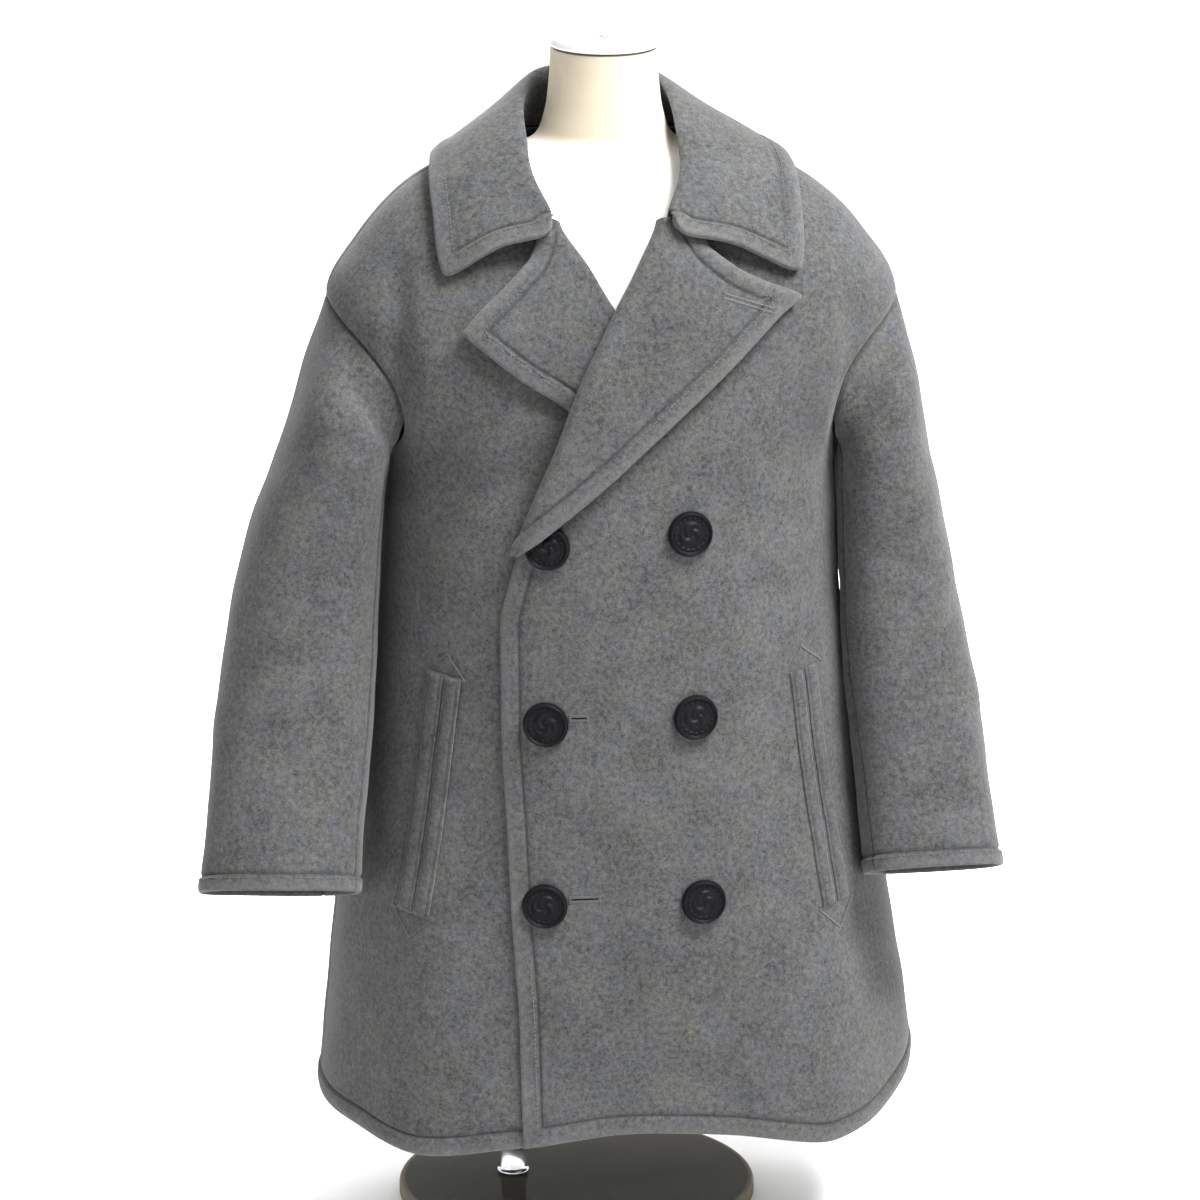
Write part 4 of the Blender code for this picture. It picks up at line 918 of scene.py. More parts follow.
LAPEL_ROWS, WIDTH_COLUMNS, PANEL_COLUMNS = 112, 30, 56
PANEL_START = 0.0012  # share of a front's width, where its cloth begins beside the side seam
ROLL_STEPS = 1.0 + np.array([0.12, 0.28, 0.44, 0.60, 0.76, 0.90])
LAPEL_STEPS = 2.0 + np.concatenate([np.linspace(0.0, 0.95, 52), [0.965, 0.978, 0.988, 0.995, 1.0]])
TURNED_STEPS = np.concatenate([ROLL_STEPS, LAPEL_STEPS])


def front_rows(front):
    """Levels of a front's rows, with rows closer where the lapel has its corners."""
    heights = np.linspace(front.break_z, LAPEL_TOP_Z, LAPEL_ROWS)
    edge_x, _ = edge_values(front.lines, heights)
    _, lapel_levels = body_place(front.side * edge_x, heights)
    shared = body_rows()
    shared = shared[np.abs(shared[:, None] - lapel_levels).min(axis=1) > NEAR_LEVEL]
    levels = np.sort(np.concatenate([shared, lapel_levels]))
    return levels, *np.searchsorted(levels, lapel_levels[[0, -1]])


def front_columns(front, levels):
    """Shares u of a front's panel columns, row by row: fine beside the side seam and over the stitched front
    edge, and even between."""
    wide = widths(front, levels)[:, None]
    edge = 1.0 - EDGE_STEPS[::-1] / wide
    seam = SEAM_STEPS / wide
    seam[:, 0] = PANEL_START
    middle = np.linspace(0.0, 1.0, PANEL_COLUMNS)[None, 1:-1]
    between = seam[:, -1:] + (edge[:, :1] - seam[:, -1:]) * middle
    return np.concatenate([seam, between, edge], axis=1)


def make_front(name, front, creases, node):
    """A front on one grid from the side seam to the lapel's free edge, without the cells past the front edge
    below the break and above the lapel's top. Gives its outer grid, and where its edges lie in it."""
    levels, first, last = front_rows(front)
    panel = front_columns(front, levels)
    turned_back = np.broadcast_to(TURNED_STEPS, (len(levels), len(TURNED_STEPS)))
    u = np.concatenate([panel, turned_back], axis=1)
    level = np.broadcast_to(levels[:, None], u.shape)
    sheet, normal = front_sheet(front, u, level)
    edge_column = panel.shape[1] - 1
    keep = np.ones((len(levels) - 1, u.shape[1] - 1), bool)
    keep[:first, edge_column:] = False
    keep[last:, edge_column:] = False
    front_line = np.concatenate([sheet[0, : edge_column + 1], sheet[1 : first + 1, edge_column]])
    lapel_line = sheet[first : last + 1, -1]
    beside_seam = ramp(from_line(sheet, sheet[:, 0]), *SIDE_FADE)
    height = creased(sheet, creases, front.side) * beside_seam
    edges = [(front_line, EDGE_INSET, u <= 1.0), (lapel_line, EDGE_INSET, u > 1.0)]
    piece, outer = cloth(name, sheet, normal, CLOTH, edges, [sheet[:, 0]], melton, keep, height, u <= 1.0)
    sewn(piece, node)
    return outer, (levels, first, last, edge_column)


left_outer, left_rows = make_front(
    "cloth_front_left", LEFT_FRONT, LEFT_CREASES, "front_left"
)
right_outer, right_rows = make_front(
    "cloth_front_right", RIGHT_FRONT, RIGHT_CREASES, "front_right"
)


# ---- Lapel facings ---------------------------------------------------------------------------------------
# The face of each lapel that shows: a second layer of melton, seamed to the front along the free edge and
# stitched 15 mm inside it. It goes round the roll, down into the coat.
def make_facing(name, front, rows, node):
    """A facing on the front's own grid past the roll line, two layers of cloth away. Gives its outer grid."""
    levels, first, last, _ = rows
    u, level = np.meshgrid(TURNED_STEPS, levels[first : last + 1])
    sheet, normal = front_sheet(front, u, level)
    face = sheet - normal * (2.0 * CLOTH + SEAM_GAP)
    piece, outer = cloth(name, face, -normal, CLOTH, [(face[:, -1], EDGE_INSET)], [], melton)
    sewn(piece, node)
    return outer


left_facing_outer = make_facing(
    "cloth_facing_left", LEFT_FRONT, left_rows, "facing_left"
)
right_facing_outer = make_facing(
    "cloth_facing_right", RIGHT_FRONT, right_rows, "facing_right"
)


# ---- Collar ----------------------------------------------------------------------------------------------
# A wide turned-down collar of two layers of melton: it stands up from the neck seam, folds over and falls
# onto the shoulders. Its free edge and its two ends are puffed and stitched once.
COLLAR_CLOTH = 0.0045
CollarRow = namedtuple("CollarRow", "seam middle_x fold_x fold_y fold_z edge_angle edge_level bulge sag")
COLLAR_ROWS = (
    CollarRow(0.05, -0.0090, 0.0490, -0.103, 0.860, 37.5, 8.93, 0.0060, 0.009),
    CollarRow(0.55, -0.0106, 0.0600, -0.068, 0.888, 54.5, 9.95, 0.0045, 0.002),
    CollarRow(1.00, -0.0122, 0.0598, -0.030, 0.917, 74.0, 10.48, 0.0040, 0.0),
    CollarRow(1.32, -0.0122, 0.0553, 0.014, 0.938, 95.0, 10.70, 0.0030, 0.0),
    CollarRow(1.64, -0.0105, 0.0405, 0.051, 0.949, 136.0, 10.80, 0.0020, 0.0),
    CollarRow(2.00, -0.0090, 0.0000, 0.067, 0.953, 180.0, 10.75, 0.0015, 0.0),
)
COLLAR_LIFT, COLLAR_SEAM_GAP, SAG_SLOPE, MIDDLE_SAG = 0.0088, 0.0006, 0.55, 0.4
COLLAR_END_REACH = 0.03  # how much further the fold runs down over the lapel's top than the ends do
COLLAR_OUTWARDS = (1.0, 1.0, 0.4)
STAND_RISE, STAND_DIP = 0.45, 0.0010
TURN_DROP, TURN_DIP = 0.22, 0.0015
FOLD_CROWN, FALL_START, FALL_LIFT = 0.0012, 0.10, 0.0045
OVER_BEGINS, OVER_ENDS, OVER_SIDES = (0.30, 0.42), (0.60, 0.84), (0.80, 1.0)  # where in t and s it does
COLLAR_ROUND = 0.006  # radius of the collar's corners
COLLAR_COLUMNS, STAND_ROWS = 132, 56
FALL_ROW = 42  # about where the fold turns into the fall, from which the ends are stitched
COLLAR_REACH, COLLAR_DEPTH = 0.29, 0.118  # length of a half from the back's middle, and depth at its ends


def through_rows(rows, t):
    """Points at t from 0 to 1 on the smooth curves through the rows, which hold one point for each t."""
    slopes = np.gradient(rows, axis=0)
    place = t * (len(rows) - 1)
    i = np.clip(np.floor(place).astype(int), 0, len(rows) - 2)
    take = tuple(np.indices(t.shape))
    here, ahead = (i, *take), (i + 1, *take)
    return cubic((place - i)[..., None], rows[here], rows[ahead], slopes[here], slopes[ahead])


def neckline(front, share):
    """Angle and level of the neckline: share 0 to 1 from the gorge up the front, 1 to 2 round the back."""
    edge_x, _ = edge_values(front.lines, GORGE_Z)
    _, gorge_level = body_place(front.side * edge_x, GORGE_Z)
    level = gorge_level + (NECK_LEVEL - gorge_level) * np.minimum(share, 1.0)
    edge_angle, _ = front_edge_angle(front, level)
    return edge_angle + (front.side * pi - edge_angle) * np.clip(share - 1.0, 0.0, 1.0), level


def collar_half(front, s, t):
    """One side of the collar: smooth curves through seven points, up the stand, over the fold and down the
    fall, from just off the body at the neck seam to COLLAR_LIFT off it at the free edge."""
    row = CollarRow(*np.moveaxis(spline(COLLAR_ROWS, (1.0 - s) * (len(COLLAR_ROWS) - 1)), -1, 0))
    seam_place = neckline(front, row.seam)
    fold = np.stack([row.middle_x + front.side * row.fold_x, row.fold_y, row.fold_z], -1)
    edge_place = front.side * np.radians(row.edge_angle), row.edge_level
    edge_normal = normals(body, *edge_place)
    edge = body(*edge_place) + edge_normal * COLLAR_LIFT
    upright = fold - body(*seam_place)
    seam = body(*seam_place) + upright * (COLLAR_SEAM_GAP / np.linalg.norm(upright, axis=-1, keepdims=True))
    fall = edge - fold
    sag = row.sag[..., None] * np.array([0.0, -SAG_SLOPE, -1.0])
    outwards = edge_normal * np.array(COLLAR_OUTWARDS)
    rows = np.stack(
        [
            seam,
            seam + STAND_RISE * upright - STAND_DIP * outwards,
            fold - TURN_DROP * upright - TURN_DIP * outwards,
            fold + FOLD_CROWN * edge_normal,
            fold + FALL_START * fall + FALL_LIFT * edge_normal + sag,
            fold + 0.5 * fall + edge_normal * row.bulge[..., None] + MIDDLE_SAG * sag,
            edge,
        ]
    )
    return through_rows(rows, t)


def collar_sheet(s, t):
    """Visible face of the collar: s from -1 at its right front end over 0 at the back to 1 at its left end,
    t from 0 at the neck seam up the stand, over the fold near 0.5 and down the fall to 1 at the edge."""
    left = collar_half(LEFT_FRONT, np.abs(s), t)
    right = collar_half(RIGHT_FRONT, np.abs(s), t)
    return np.where((s < 0.0)[..., None], right, left)


def corner_rounded(s, t, length, fall):
    """Moves the grid in at the collar's two corners, so that a square of COLLAR_ROUND becomes a quarter
    disc. length and fall are how many metres one step of s and of t are there."""
    x = np.clip(1.0 - (1.0 - np.abs(s)) * length / COLLAR_ROUND, 0.0, 1.0)
    y = np.clip(1.0 - (1.0 - t) * fall / COLLAR_ROUND, 0.0, 1.0)
    moved_x = x * np.sqrt(1.0 - 0.5 * y * y) - x
    moved_y = y * np.sqrt(1.0 - 0.5 * x * x) - y
    return s + np.sign(s) * moved_x * COLLAR_ROUND / length, t + moved_y * COLLAR_ROUND / fall


def collar_rim(grid, inside):
    """Points of the collar's grid down its left end, along its free edge and up its right end, this many rows
    and columns inside the edges."""
    last = -1 - inside
    return np.concatenate([grid[FALL_ROW:, last], grid[last, ::-1], grid[FALL_ROW:, inside][::-1]])


def grid_normals(points):
    """Unit normals of a grid of points, from its own neighbours."""
    return unit(np.cross(np.gradient(points, axis=1), np.gradient(points, axis=0)))


collar_steps = EDGE_STEPS / COLLAR_REACH
collar_middle = np.linspace(-1.0 + collar_steps[-1], 1.0 - collar_steps[-1], COLLAR_COLUMNS)[1:-1]
collar_s = np.concatenate([collar_steps - 1.0, collar_middle, 1.0 - collar_steps[::-1]])
collar_fall = 1.0 - EDGE_STEPS[::-1] / COLLAR_DEPTH
collar_t = np.concatenate([np.linspace(0.006, collar_fall[0], STAND_ROWS)[:-1], collar_fall])
collar_s, collar_t = corner_rounded(*np.meshgrid(collar_s, collar_t), COLLAR_REACH, COLLAR_DEPTH)
over_lapel = ramp(collar_t, *OVER_BEGINS) * (1.0 - ramp(collar_t, *OVER_ENDS))
over_lapel = over_lapel * ramp(np.abs(collar_s), *OVER_SIDES)
collar_s = collar_s * (1.0 + COLLAR_END_REACH * over_lapel)
collar_grid = collar_sheet(collar_s, collar_t)
collar, collar_outer = cloth(
    "cloth_collar",
    collar_grid,
    grid_normals(collar_grid),
    COLLAR_CLOTH,
    [(collar_rim(collar_grid, 0), EDGE_INSET)],
    [],
    melton,
)
sewn(collar, "collar")


# ---- Sleeves ---------------------------------------------------------------------------------------------
# Two-piece set-in sleeves of melton, an upper and an under piece, eased into the armhole. They hang bent a
# little forwards, wide at the cuff, whose edge is turned in and stitched once.
Section = namedtuple("Section", "x y z half_width half_depth lift pitch")
SLEEVE_SECTIONS = (
    Section(0.2112, -0.006, 0.682, 0.0490, 0.0962, 48.0, 0.0),
    Section(0.2172, -0.010, 0.635, 0.0412, 0.0892, 18.0, 2.0),
    Section(0.2247, -0.014, 0.575, 0.0467, 0.0832, 8.0, 4.0),
    Section(0.2332, -0.027, 0.500, 0.0527, 0.0752, 5.0, 8.0),
    Section(0.2427, -0.050, 0.425, 0.0552, 0.0652, 4.0, 14.0),
    Section(0.2497, -0.077, 0.360, 0.0552, 0.0542, 3.0, 18.0),
    Section(0.2552, -0.098, 0.311, 0.0557, 0.0482, 2.0, 20.0),  # cuff
)
SLEEVE_SQUARE, SLEEVE_REST, SLEEVE_REST_SOFTNESS = 2.8, 0.0024, 0.003
RIGHT_SWING, RIGHT_SPREAD, RIGHT_DROP, RIGHT_SWING_END = 0.0215, 0.0090, 0.0060, 0.54
BODY_REST_RISE, BODY_REST_START = 0.04, 0.05
SLEEVE_SEAM_INSET = radians(0.35)
SLEEVE_SEAMS = np.radians((-152.0, 118.0))
SEAM_SHARED = (-0.60, -0.10)  # likeness of the two normals, over which a sleeve's edge takes the body's own
SLEEVE_LENGTH = 0.47


def sleeve_ring(angle):
    """The armhole seam of the left sleeve, angle 0 at the shoulder point and pi at the armpit."""
    reach = np.where(np.sin(angle) < 0.0, ARMHOLE_REACH[0], ARMHOLE_REACH[1])
    return pi / 2.0 + reach * np.sin(angle), ARMHOLE_MIDDLE + np.cos(angle)


def beside_body(points, amount):
    """The same points, moved under the arm to SLEEVE_REST outside the coat's body, by a share of the way."""
    x, y, z = np.moveaxis(points, -1, 0)
    heights = np.array([ring.side_z for ring in COAT_RINGS[: int(ARMPIT_LEVEL) + 2]])
    level = np.interp(z, heights, np.arange(len(heights)))
    ring = rings_at(COAT_RINGS, level)
    end_y = np.where(y < ring.side_y, ring.front_y, ring.back_y)
    share = np.clip((y - ring.side_y) / (end_y - ring.side_y), 0.0, 1.0)
    angle = np.arccos(share ** (ring.square / 2.0))
    angle = np.where(y < ring.side_y, angle, pi - angle)
    least = body(angle, level)[..., 0] + SLEEVE_REST
    over = x - least
    softly = least + 0.5 * (over + np.sqrt(over * over + SLEEVE_REST_SOFTNESS**2))
    below = amount * ramp(heights[-1] - z, 0.0, BODY_REST_RISE)
    return np.stack([x + (softly - x) * below, y, z], -1)


def sleeve(angle, t, side=1.0):
    """A sleeve as on the left: smooth curves from the armhole through an oval at each section to the cuff.
    t goes from 0 to 1, angle 0 is outside and -pi / 2 in front. side is -1 for the right one's own hang."""
    angle, t = np.broadcast_arrays(np.asarray(angle, float), np.asarray(t, float))
    rows = [body(*sleeve_ring(angle))]
    for section in SLEEVE_SECTIONS:
        lift, pitch = np.radians(section.lift), np.radians(section.pitch)
        wide = section.half_width * rounded(np.cos(angle), SLEEVE_SQUARE)
        deep = section.half_depth * rounded(np.sin(angle), SLEEVE_SQUARE)
        x = section.x + wide * np.cos(lift)
        y = section.y + deep * np.cos(pitch)
        z = section.z + wide * np.sin(lift) - deep * np.sin(pitch)
        rows.append(np.stack([x, y, z], -1))
    points = through_rows(np.stack(rows), t)
    if side < 0.0:
        swing = ramp(t, 0.0, RIGHT_SWING_END)
        points[..., 0] += (RIGHT_SWING + RIGHT_SPREAD * np.cos(angle)) * swing
        points[..., 2] -= RIGHT_DROP * ramp(t, 0.0, 1.0)
    return beside_body(points, ramp(t, 0.0, BODY_REST_START))


# Soft creases across a sleeve: where they lie round it and down it, how deep, how long and how wide
Drag = namedtuple("Drag", "angle t slope depth reach width")
SLEEVE_DRAGS = (
    Drag(-70.0, 0.20, 0.10, 0.0016, 42.0, 0.022),
    Drag(-30.0, 0.33, -0.05, -0.0010, 50.0, 0.040),
    Drag(-80.0, 0.47, 0.07, 0.0018, 36.0, 0.020),
    Drag(-62.0, 0.56, -0.06, 0.0015, 40.0, 0.024),
    Drag(-20.0, 0.68, 0.05, -0.0012, 46.0, 0.035),
    Drag(60.0, 0.38, 0.06, 0.0015, 44.0, 0.028),
    Drag(95.0, 0.55, -0.08, 0.0018, 40.0, 0.024),
    Drag(35.0, 0.75, 0.05, 0.0012, 44.0, 0.030),
)
Trough = namedtuple("Trough", "angle end depth reach")
CAP_TROUGH = Trough(-86.0, 0.12, 0.0085, 40.0)  # in front of the arm, just outside the armhole seam


def dragged(angle, t):
    """Height of a sleeve's creases, bell curves along slanted lines that fade at both ends, and of its trough."""
    height = np.zeros(angle.shape)
    for drag in SLEEVE_DRAGS:
        turn = turn_from(drag.angle, angle)
        off = t - drag.t - drag.slope * turn / 60.0
        height = height - drag.depth * np.exp(-((off / drag.width) ** 2) - (turn / drag.reach) ** 2)
    turn = turn_from(CAP_TROUGH.angle, angle)
    down = np.sin(pi * np.clip(t / CAP_TROUGH.end, 0.0, 1.0)) ** 2
    return height - CAP_TROUGH.depth * (down * hump(turn, CAP_TROUGH.reach))


SLEEVE_TOP, SLEEVE_CAP_LENGTH = 0.0012, 0.25  # the first row, and metres to a step of t near the armhole
SLEEVE_RADIUS, SLEEVE_MIDDLE_ROWS = 0.06, 104
top_rows = SLEEVE_TOP + SEAM_STEPS / SLEEVE_CAP_LENGTH
cuff_rows = 1.0 - EDGE_STEPS[::-1] / SLEEVE_LENGTH
middle_rows = np.linspace(top_rows[-1], cuff_rows[0], SLEEVE_MIDDLE_ROWS)[1:-1]
SLEEVE_ROWS = np.concatenate([top_rows, middle_rows, cuff_rows])


def make_sleeve(first, last, count, side, node):
    """A sleeve piece between two seams, with columns closer beside them. At the armhole its face dips along
    the body's own normal, so that the two edges meet, except where the normals look nearly opposite ways."""
    first, last = first + SLEEVE_SEAM_INSET, last - SLEEVE_SEAM_INSET
    close = SEAM_STEPS[1:] / SLEEVE_RADIUS
    angles = np.sort(np.concatenate([np.linspace(first, last, count), first + close, last - close]))
    a, t = np.meshgrid(angles, SLEEVE_ROWS)
    sheet = sleeve(a, t, side)
    out = -normals(lambda a_, t_: sleeve(a_, t_, side), a, t)
    seam = normals(body, *sleeve_ring(a))
    shared = ramp((out * seam).sum(-1, keepdims=True), *SEAM_SHARED)
    at_seam = unit(out + shared * (seam - out))
    first_row = (t <= SLEEVE_ROWS[0])[..., None]
    out = np.where(first_row, at_seam, out)
    sheet = sheet + np.where(first_row, seam, 0.0) * SEAM_GAP
    flip = np.array([side, 1.0, 1.0])
    sheet, out = sheet * flip, out * flip
    edges, seams = [(sheet[-1], HEM_INSET)], [sheet[0], sheet[:, 0], sheet[:, -1]]
    piece, outer = cloth(f"cloth_{node}", sheet, out, CLOTH, edges, seams, melton, height=dragged(a, t))
    sewn(piece, node)
    return outer


front_seam, back_seam = SLEEVE_SEAMS
cuffs = []
for side_name, side in (("left", 1.0), ("right", -1.0)):
    upper, under = f"sleeve_upper_{side_name}", f"sleeve_under_{side_name}"
    cuffs.append(make_sleeve(front_seam, back_seam, 80, side, upper))
    cuffs.append(make_sleeve(back_seam, front_seam + 2.0 * pi, 30, side, under))


# ---- Pockets ---------------------------------------------------------------------------------------------
# Two slanted pocket mouths, each between two narrow welts of melton that meet edge to edge. Every welt is a
# folded strip, stitched down along both its long sides, and a thread triangle closes each end of the mouth.
WELT_WIDTH = 0.0125
WELT_STANDOFF = 0.0004
WELT_CROWN, WELT_EDGE = 0.0021, 0.0008
WELT_PARTING = 0.0004  # half the gap between two welts
WELT_STITCHES = (0.16, 0.84)  # shares of a welt's width
WELT_GROOVE, WELT_ROWS, WELT_COLUMNS = 0.0009, 110, 19
WELT_MOUTHS = {
    "left": ((0.146, 0.486), (0.170, 0.292)),
    "right": ((-0.143, 0.486), (-0.167, 0.292)),
}


def on_front(x, z):
    """Points of a front's outer face at x and z, and its normals."""
    angle, level = body_place(x, z)
    return body(angle, level), normals(body, angle, level)


def mouth_frame(mouth):
    """Top end of a pocket's mouth, the way down it and the way across it, in x and z."""
    top, bottom = np.array(mouth)
    down = (bottom - top) / np.linalg.norm(bottom - top)
    return top, down, np.array([-down[1], down[0]]), np.linalg.norm(bottom - top)


def beside_edges(width, spread):
    """Two bell curves across a welt, one over each of its rows of stitches."""
    first, last = (hump(width - row, spread) for row in WELT_STITCHES)
    return first + last


def make_welt(welt, side_name, first, last):
    """A welt: a strip between two distances across the mouth, with a low round crown across it and a groove
    beside each long edge."""
    top, down, across, length = mouth_frame(WELT_MOUTHS[side_name])
    steps = np.linspace(0.0, 1.0, WELT_ROWS), np.linspace(0.0, 1.0, WELT_COLUMNS)
    share, width = np.meshgrid(*steps, indexing="ij")
    line = top + down * (share * length)[..., None] + across * (first + (last - first) * width)[..., None]
    place, normal = on_front(line[..., 0], line[..., 1])
    crown = WELT_CROWN * np.sin(pi * width) ** 0.55
    groove = WELT_GROOVE * beside_edges(width, 0.07)
    rounding = ramp(np.minimum(share, 1.0 - share), 0.0, 0.012)
    height = WELT_STANDOFF + (WELT_EDGE + crown - groove) * (0.35 + 0.65 * rounding)
    sheet = place + normal * height[..., None]
    piece, _ = cloth(f"welt_{welt}_cloth_{side_name}", sheet, normal, CLOTH * 0.5, [], [], melton)
    # Painted shade along the welt's two stitched grooves.
    both = np.concatenate([0.75 * beside_edges(width, 0.06).ravel()] * 2)
    piece.data.attributes["stitch"].data.foreach_set("value", both)
    sewn(piece, f"welt_{welt}_{side_name}")


for side_name, side in (("left", 1.0), ("right", -1.0)):
    make_welt("front", side_name, -side * WELT_WIDTH, -side * WELT_PARTING)
    make_welt("back", side_name, side * WELT_PARTING, side * WELT_WIDTH)


# ---- Stitches, buttonholes and pocket tacks --------------------------------------------------------------
# Grey sewing thread: one row of lockstitch in the groove along every edge, and close satin stitches round
# the buttonholes and the triangles at the pockets' ends. Each stitch is a short round grain of thread.
STITCH_LENGTH, STITCH_PITCH, THREAD_RADIUS = 0.0027, 0.0036, 0.00038
GRAIN = ((-0.5, 0.25), (-0.36, 0.85), (0.0, 1.0), (0.36, 0.85), (0.5, 0.25))
GRAIN_SIDES = 6
THREAD_RISE = 0.6  # share of its radius by which a stitch's middle is above the cloth
LANDING_REACH, INSET_KEPT, ROW_BREAK, SHORTEST_ROW = 0.006, 0.965, 0.008, 4
FRONTWARDS = np.array([0.0, -1.0, 0.0])


def grains(centres, along, out, length, radius):
    """Points and faces of stitches: each is a short tube along its row, narrowed to closed ends."""
    side = unit(np.cross(out, along))
    up = np.cross(along, side)
    turn = np.linspace(0.0, 2.0 * pi, GRAIN_SIDES, endpoint=False)
    place, size = np.array(GRAIN).T
    ring = np.cos(turn)[:, None] * side[:, None] + np.sin(turn)[:, None] * up[:, None]
    points = centres[:, None, None] + along[:, None, None] * (length * place)[None, :, None, None]
    points = points + ring[:, None] * (radius * size)[None, :, None, None]
    index, quads = belts(len(GRAIN), GRAIN_SIDES, rising=True)
    offsets = (np.arange(len(centres)) * index.size)[:, None, None]
    faces = (quads[None] + offsets).reshape(-1, 4).tolist()
    ends = np.stack([index[0, ::-1], index[-1]])
    faces += (ends[None] + offsets).reshape(-1, GRAIN_SIDES).tolist()
    return points.reshape(-1, 3), faces


def resampled(line, pitch):
    """Points of a line, an even pitch apart along it."""
    gone = np.concatenate([[0.0], np.cumsum(np.linalg.norm(np.diff(line, axis=0), axis=1))])
    steps = np.arange(0.5 * pitch, gone[-1], pitch)
    return np.stack([np.interp(steps, gone, line[:, k]) for k in range(3)], -1)


def inset_rows(edge, inner, inset, outer):
    """Rows of places for stitches beside an edge: the edge moved inwards by the inset, without what then
    lies nearer to it or off the cloth, and set down on the nearest points of the outer grid."""
    along = unit(np.gradient(edge, axis=0))
    inwards = inner - edge
    inwards = unit(inwards - along * (inwards * along).sum(1, keepdims=True))
    line = edge + inwards * inset
    grid = outer.reshape(-1, 3)
    normal = grid_normals(outer).reshape(-1, 3)
    nearest = np.empty(len(line), int)
    for start in range(0, len(line), LANDED_AT_ONCE):
        part = line[start : start + LANDED_AT_ONCE]
        nearest[start : start + len(part)] = ((part[:, None] - grid[None]) ** 2).sum(2).argmin(1)
    landed = line - normal[nearest] * ((line - grid[nearest]) * normal[nearest]).sum(1, keepdims=True)
    near = np.linalg.norm(line - grid[nearest], axis=1) < LANDING_REACH
    good = near & (from_line(line, edge) > INSET_KEPT * inset)
    landed, faced = landed[good], normal[nearest][good]
    jumps = np.flatnonzero(np.linalg.norm(np.diff(landed, axis=0), axis=1) > ROW_BREAK) + 1
    rows = zip(np.split(landed, jumps), np.split(faced, jumps))
    return [(line, out) for line, out in rows if len(line) >= SHORTEST_ROW]


def sew(rows, outward):
    """Stitches along rows of places. outward is 1 where the grid's normals look out of the cloth."""
    made = []
    for line, faced in rows:
        centres = resampled(line, STITCH_PITCH)
        if len(centres) < 2:
            continue
        nearest = ((centres[:, None] - line[None]) ** 2).sum(2).argmin(1)
        out = outward * faced[nearest]
        along = unit(np.gradient(centres, axis=0))
        centres = centres + out * (THREAD_RADIUS * THREAD_RISE)
        made.append(grains(centres, along, out, STITCH_LENGTH, THREAD_RADIUS))
    return made


def gathered(parts):
    """Points and faces of several meshes as one."""
    points, faces, count = [], [], 0
    for more_points, more_faces in parts:
        points.append(more_points)
        faces += [[corner + count for corner in face] for face in more_faces]
        count += len(more_points)
    return np.concatenate(points), faces


thread = Finish("grey_thread", Roughness=0.6, Sheen_Weight=0.2)
place = thread.places()
twist = thread.noise(place, 2600.0, 2.0, 0.6)
thread.feed(Base_Color=thread.between(twist, (0.0085, 0.0088, 0.0095, 1.0), (0.030, 0.030, 0.032, 1.0)))
thread.bump(twist, 0.00008, 0.6)


def side_of(outer, way):
    """1 or -1: whether a grid's own normals look, on the whole, the way that the cloth's outer side does."""
    return 1.0 if (grid_normals(outer) * way).sum() > 0.0 else -1.0


sewing = []
for outer, (_, first, _, edge_column) in ((left_outer, left_rows), (right_outer, right_rows)):
    panel = outer[:, : edge_column + 1]
    edge = np.concatenate([panel[0], panel[1:first, -1]])
    inner = np.concatenate([panel[5], panel[1:first, -6]])
    sewing += sew(inset_rows(edge, inner, EDGE_INSET, panel), side_of(panel, FRONTWARDS))
for outer in (left_facing_outer, right_facing_outer):
    sewing += sew(inset_rows(outer[:, -1], outer[:, -8], EDGE_INSET, outer), side_of(outer, FRONTWARDS))
collar_rims = collar_rim(collar_outer, 0), collar_rim(collar_outer, 6)
sewing += sew(inset_rows(*collar_rims, EDGE_INSET, collar_outer[FALL_ROW - 8 :]), 1.0)
back_hem = inset_rows(back_outer[0], back_outer[6], HEM_INSET, back_outer[:60])
sewing += sew(back_hem, side_of(back_outer, back_normal))
for outer in cuffs:
    away = outer - outer.reshape(-1, 3).mean(0)
    sewing += sew(inset_rows(outer[-1], outer[-7], HEM_INSET, outer[-60:]), side_of(outer, away))
topstitching = add_piece("topstitching", *gathered(sewing), thread)
placed(topstitching)


# Buttonholes: two close rows of satin stitches with a bar at each end. Two show on the left front, each with a
# near-black strip in its opening as painted shade, and a closed one in the left lapel. x and z of the end near
# the button, length, slope in degrees.
Hole = namedtuple("Hole", "x z length slope")
BUTTONHOLES = (Hole(-0.047, 0.3115, 0.024, 2.0), Hole(-0.046, 0.4600, 0.014, 1.0))
LAPEL_HOLE = Hole(0.078, 0.7940, 0.042, -18.0)
HOLE_HALF = 0.0017
SATIN_PITCH, SATIN_RADIUS = 0.00055, 0.00032
HOLE_WIDTH, HOLE_LIFT = 0.0021, 0.0001
BAR_WIDTH, BAR_REACH, BAR_LIFT = 0.0020, 1.6, 0.0002
SLIT_ROWS, SLIT_COLUMNS, SLIT_HALF, SLIT_RISE, SLIT_DEPTH = 24, 5, 0.0004, 0.00022, 0.0003


def satin(first, second, width, lift, surface):
    """Close stitches across the line from the first to the second place on a surface of x and z."""
    first, second = np.array(first), np.array(second)
    count = max(int(np.linalg.norm(second - first) / SATIN_PITCH), 2)
    places = first + (second - first) * np.linspace(0.0, 1.0, count)[:, None]
    points, out = surface(places[:, 0], places[:, 1])
    across = unit(np.cross(out, np.gradient(points, axis=0)))
    return grains(points + out * lift, across, out, width, SATIN_RADIUS)


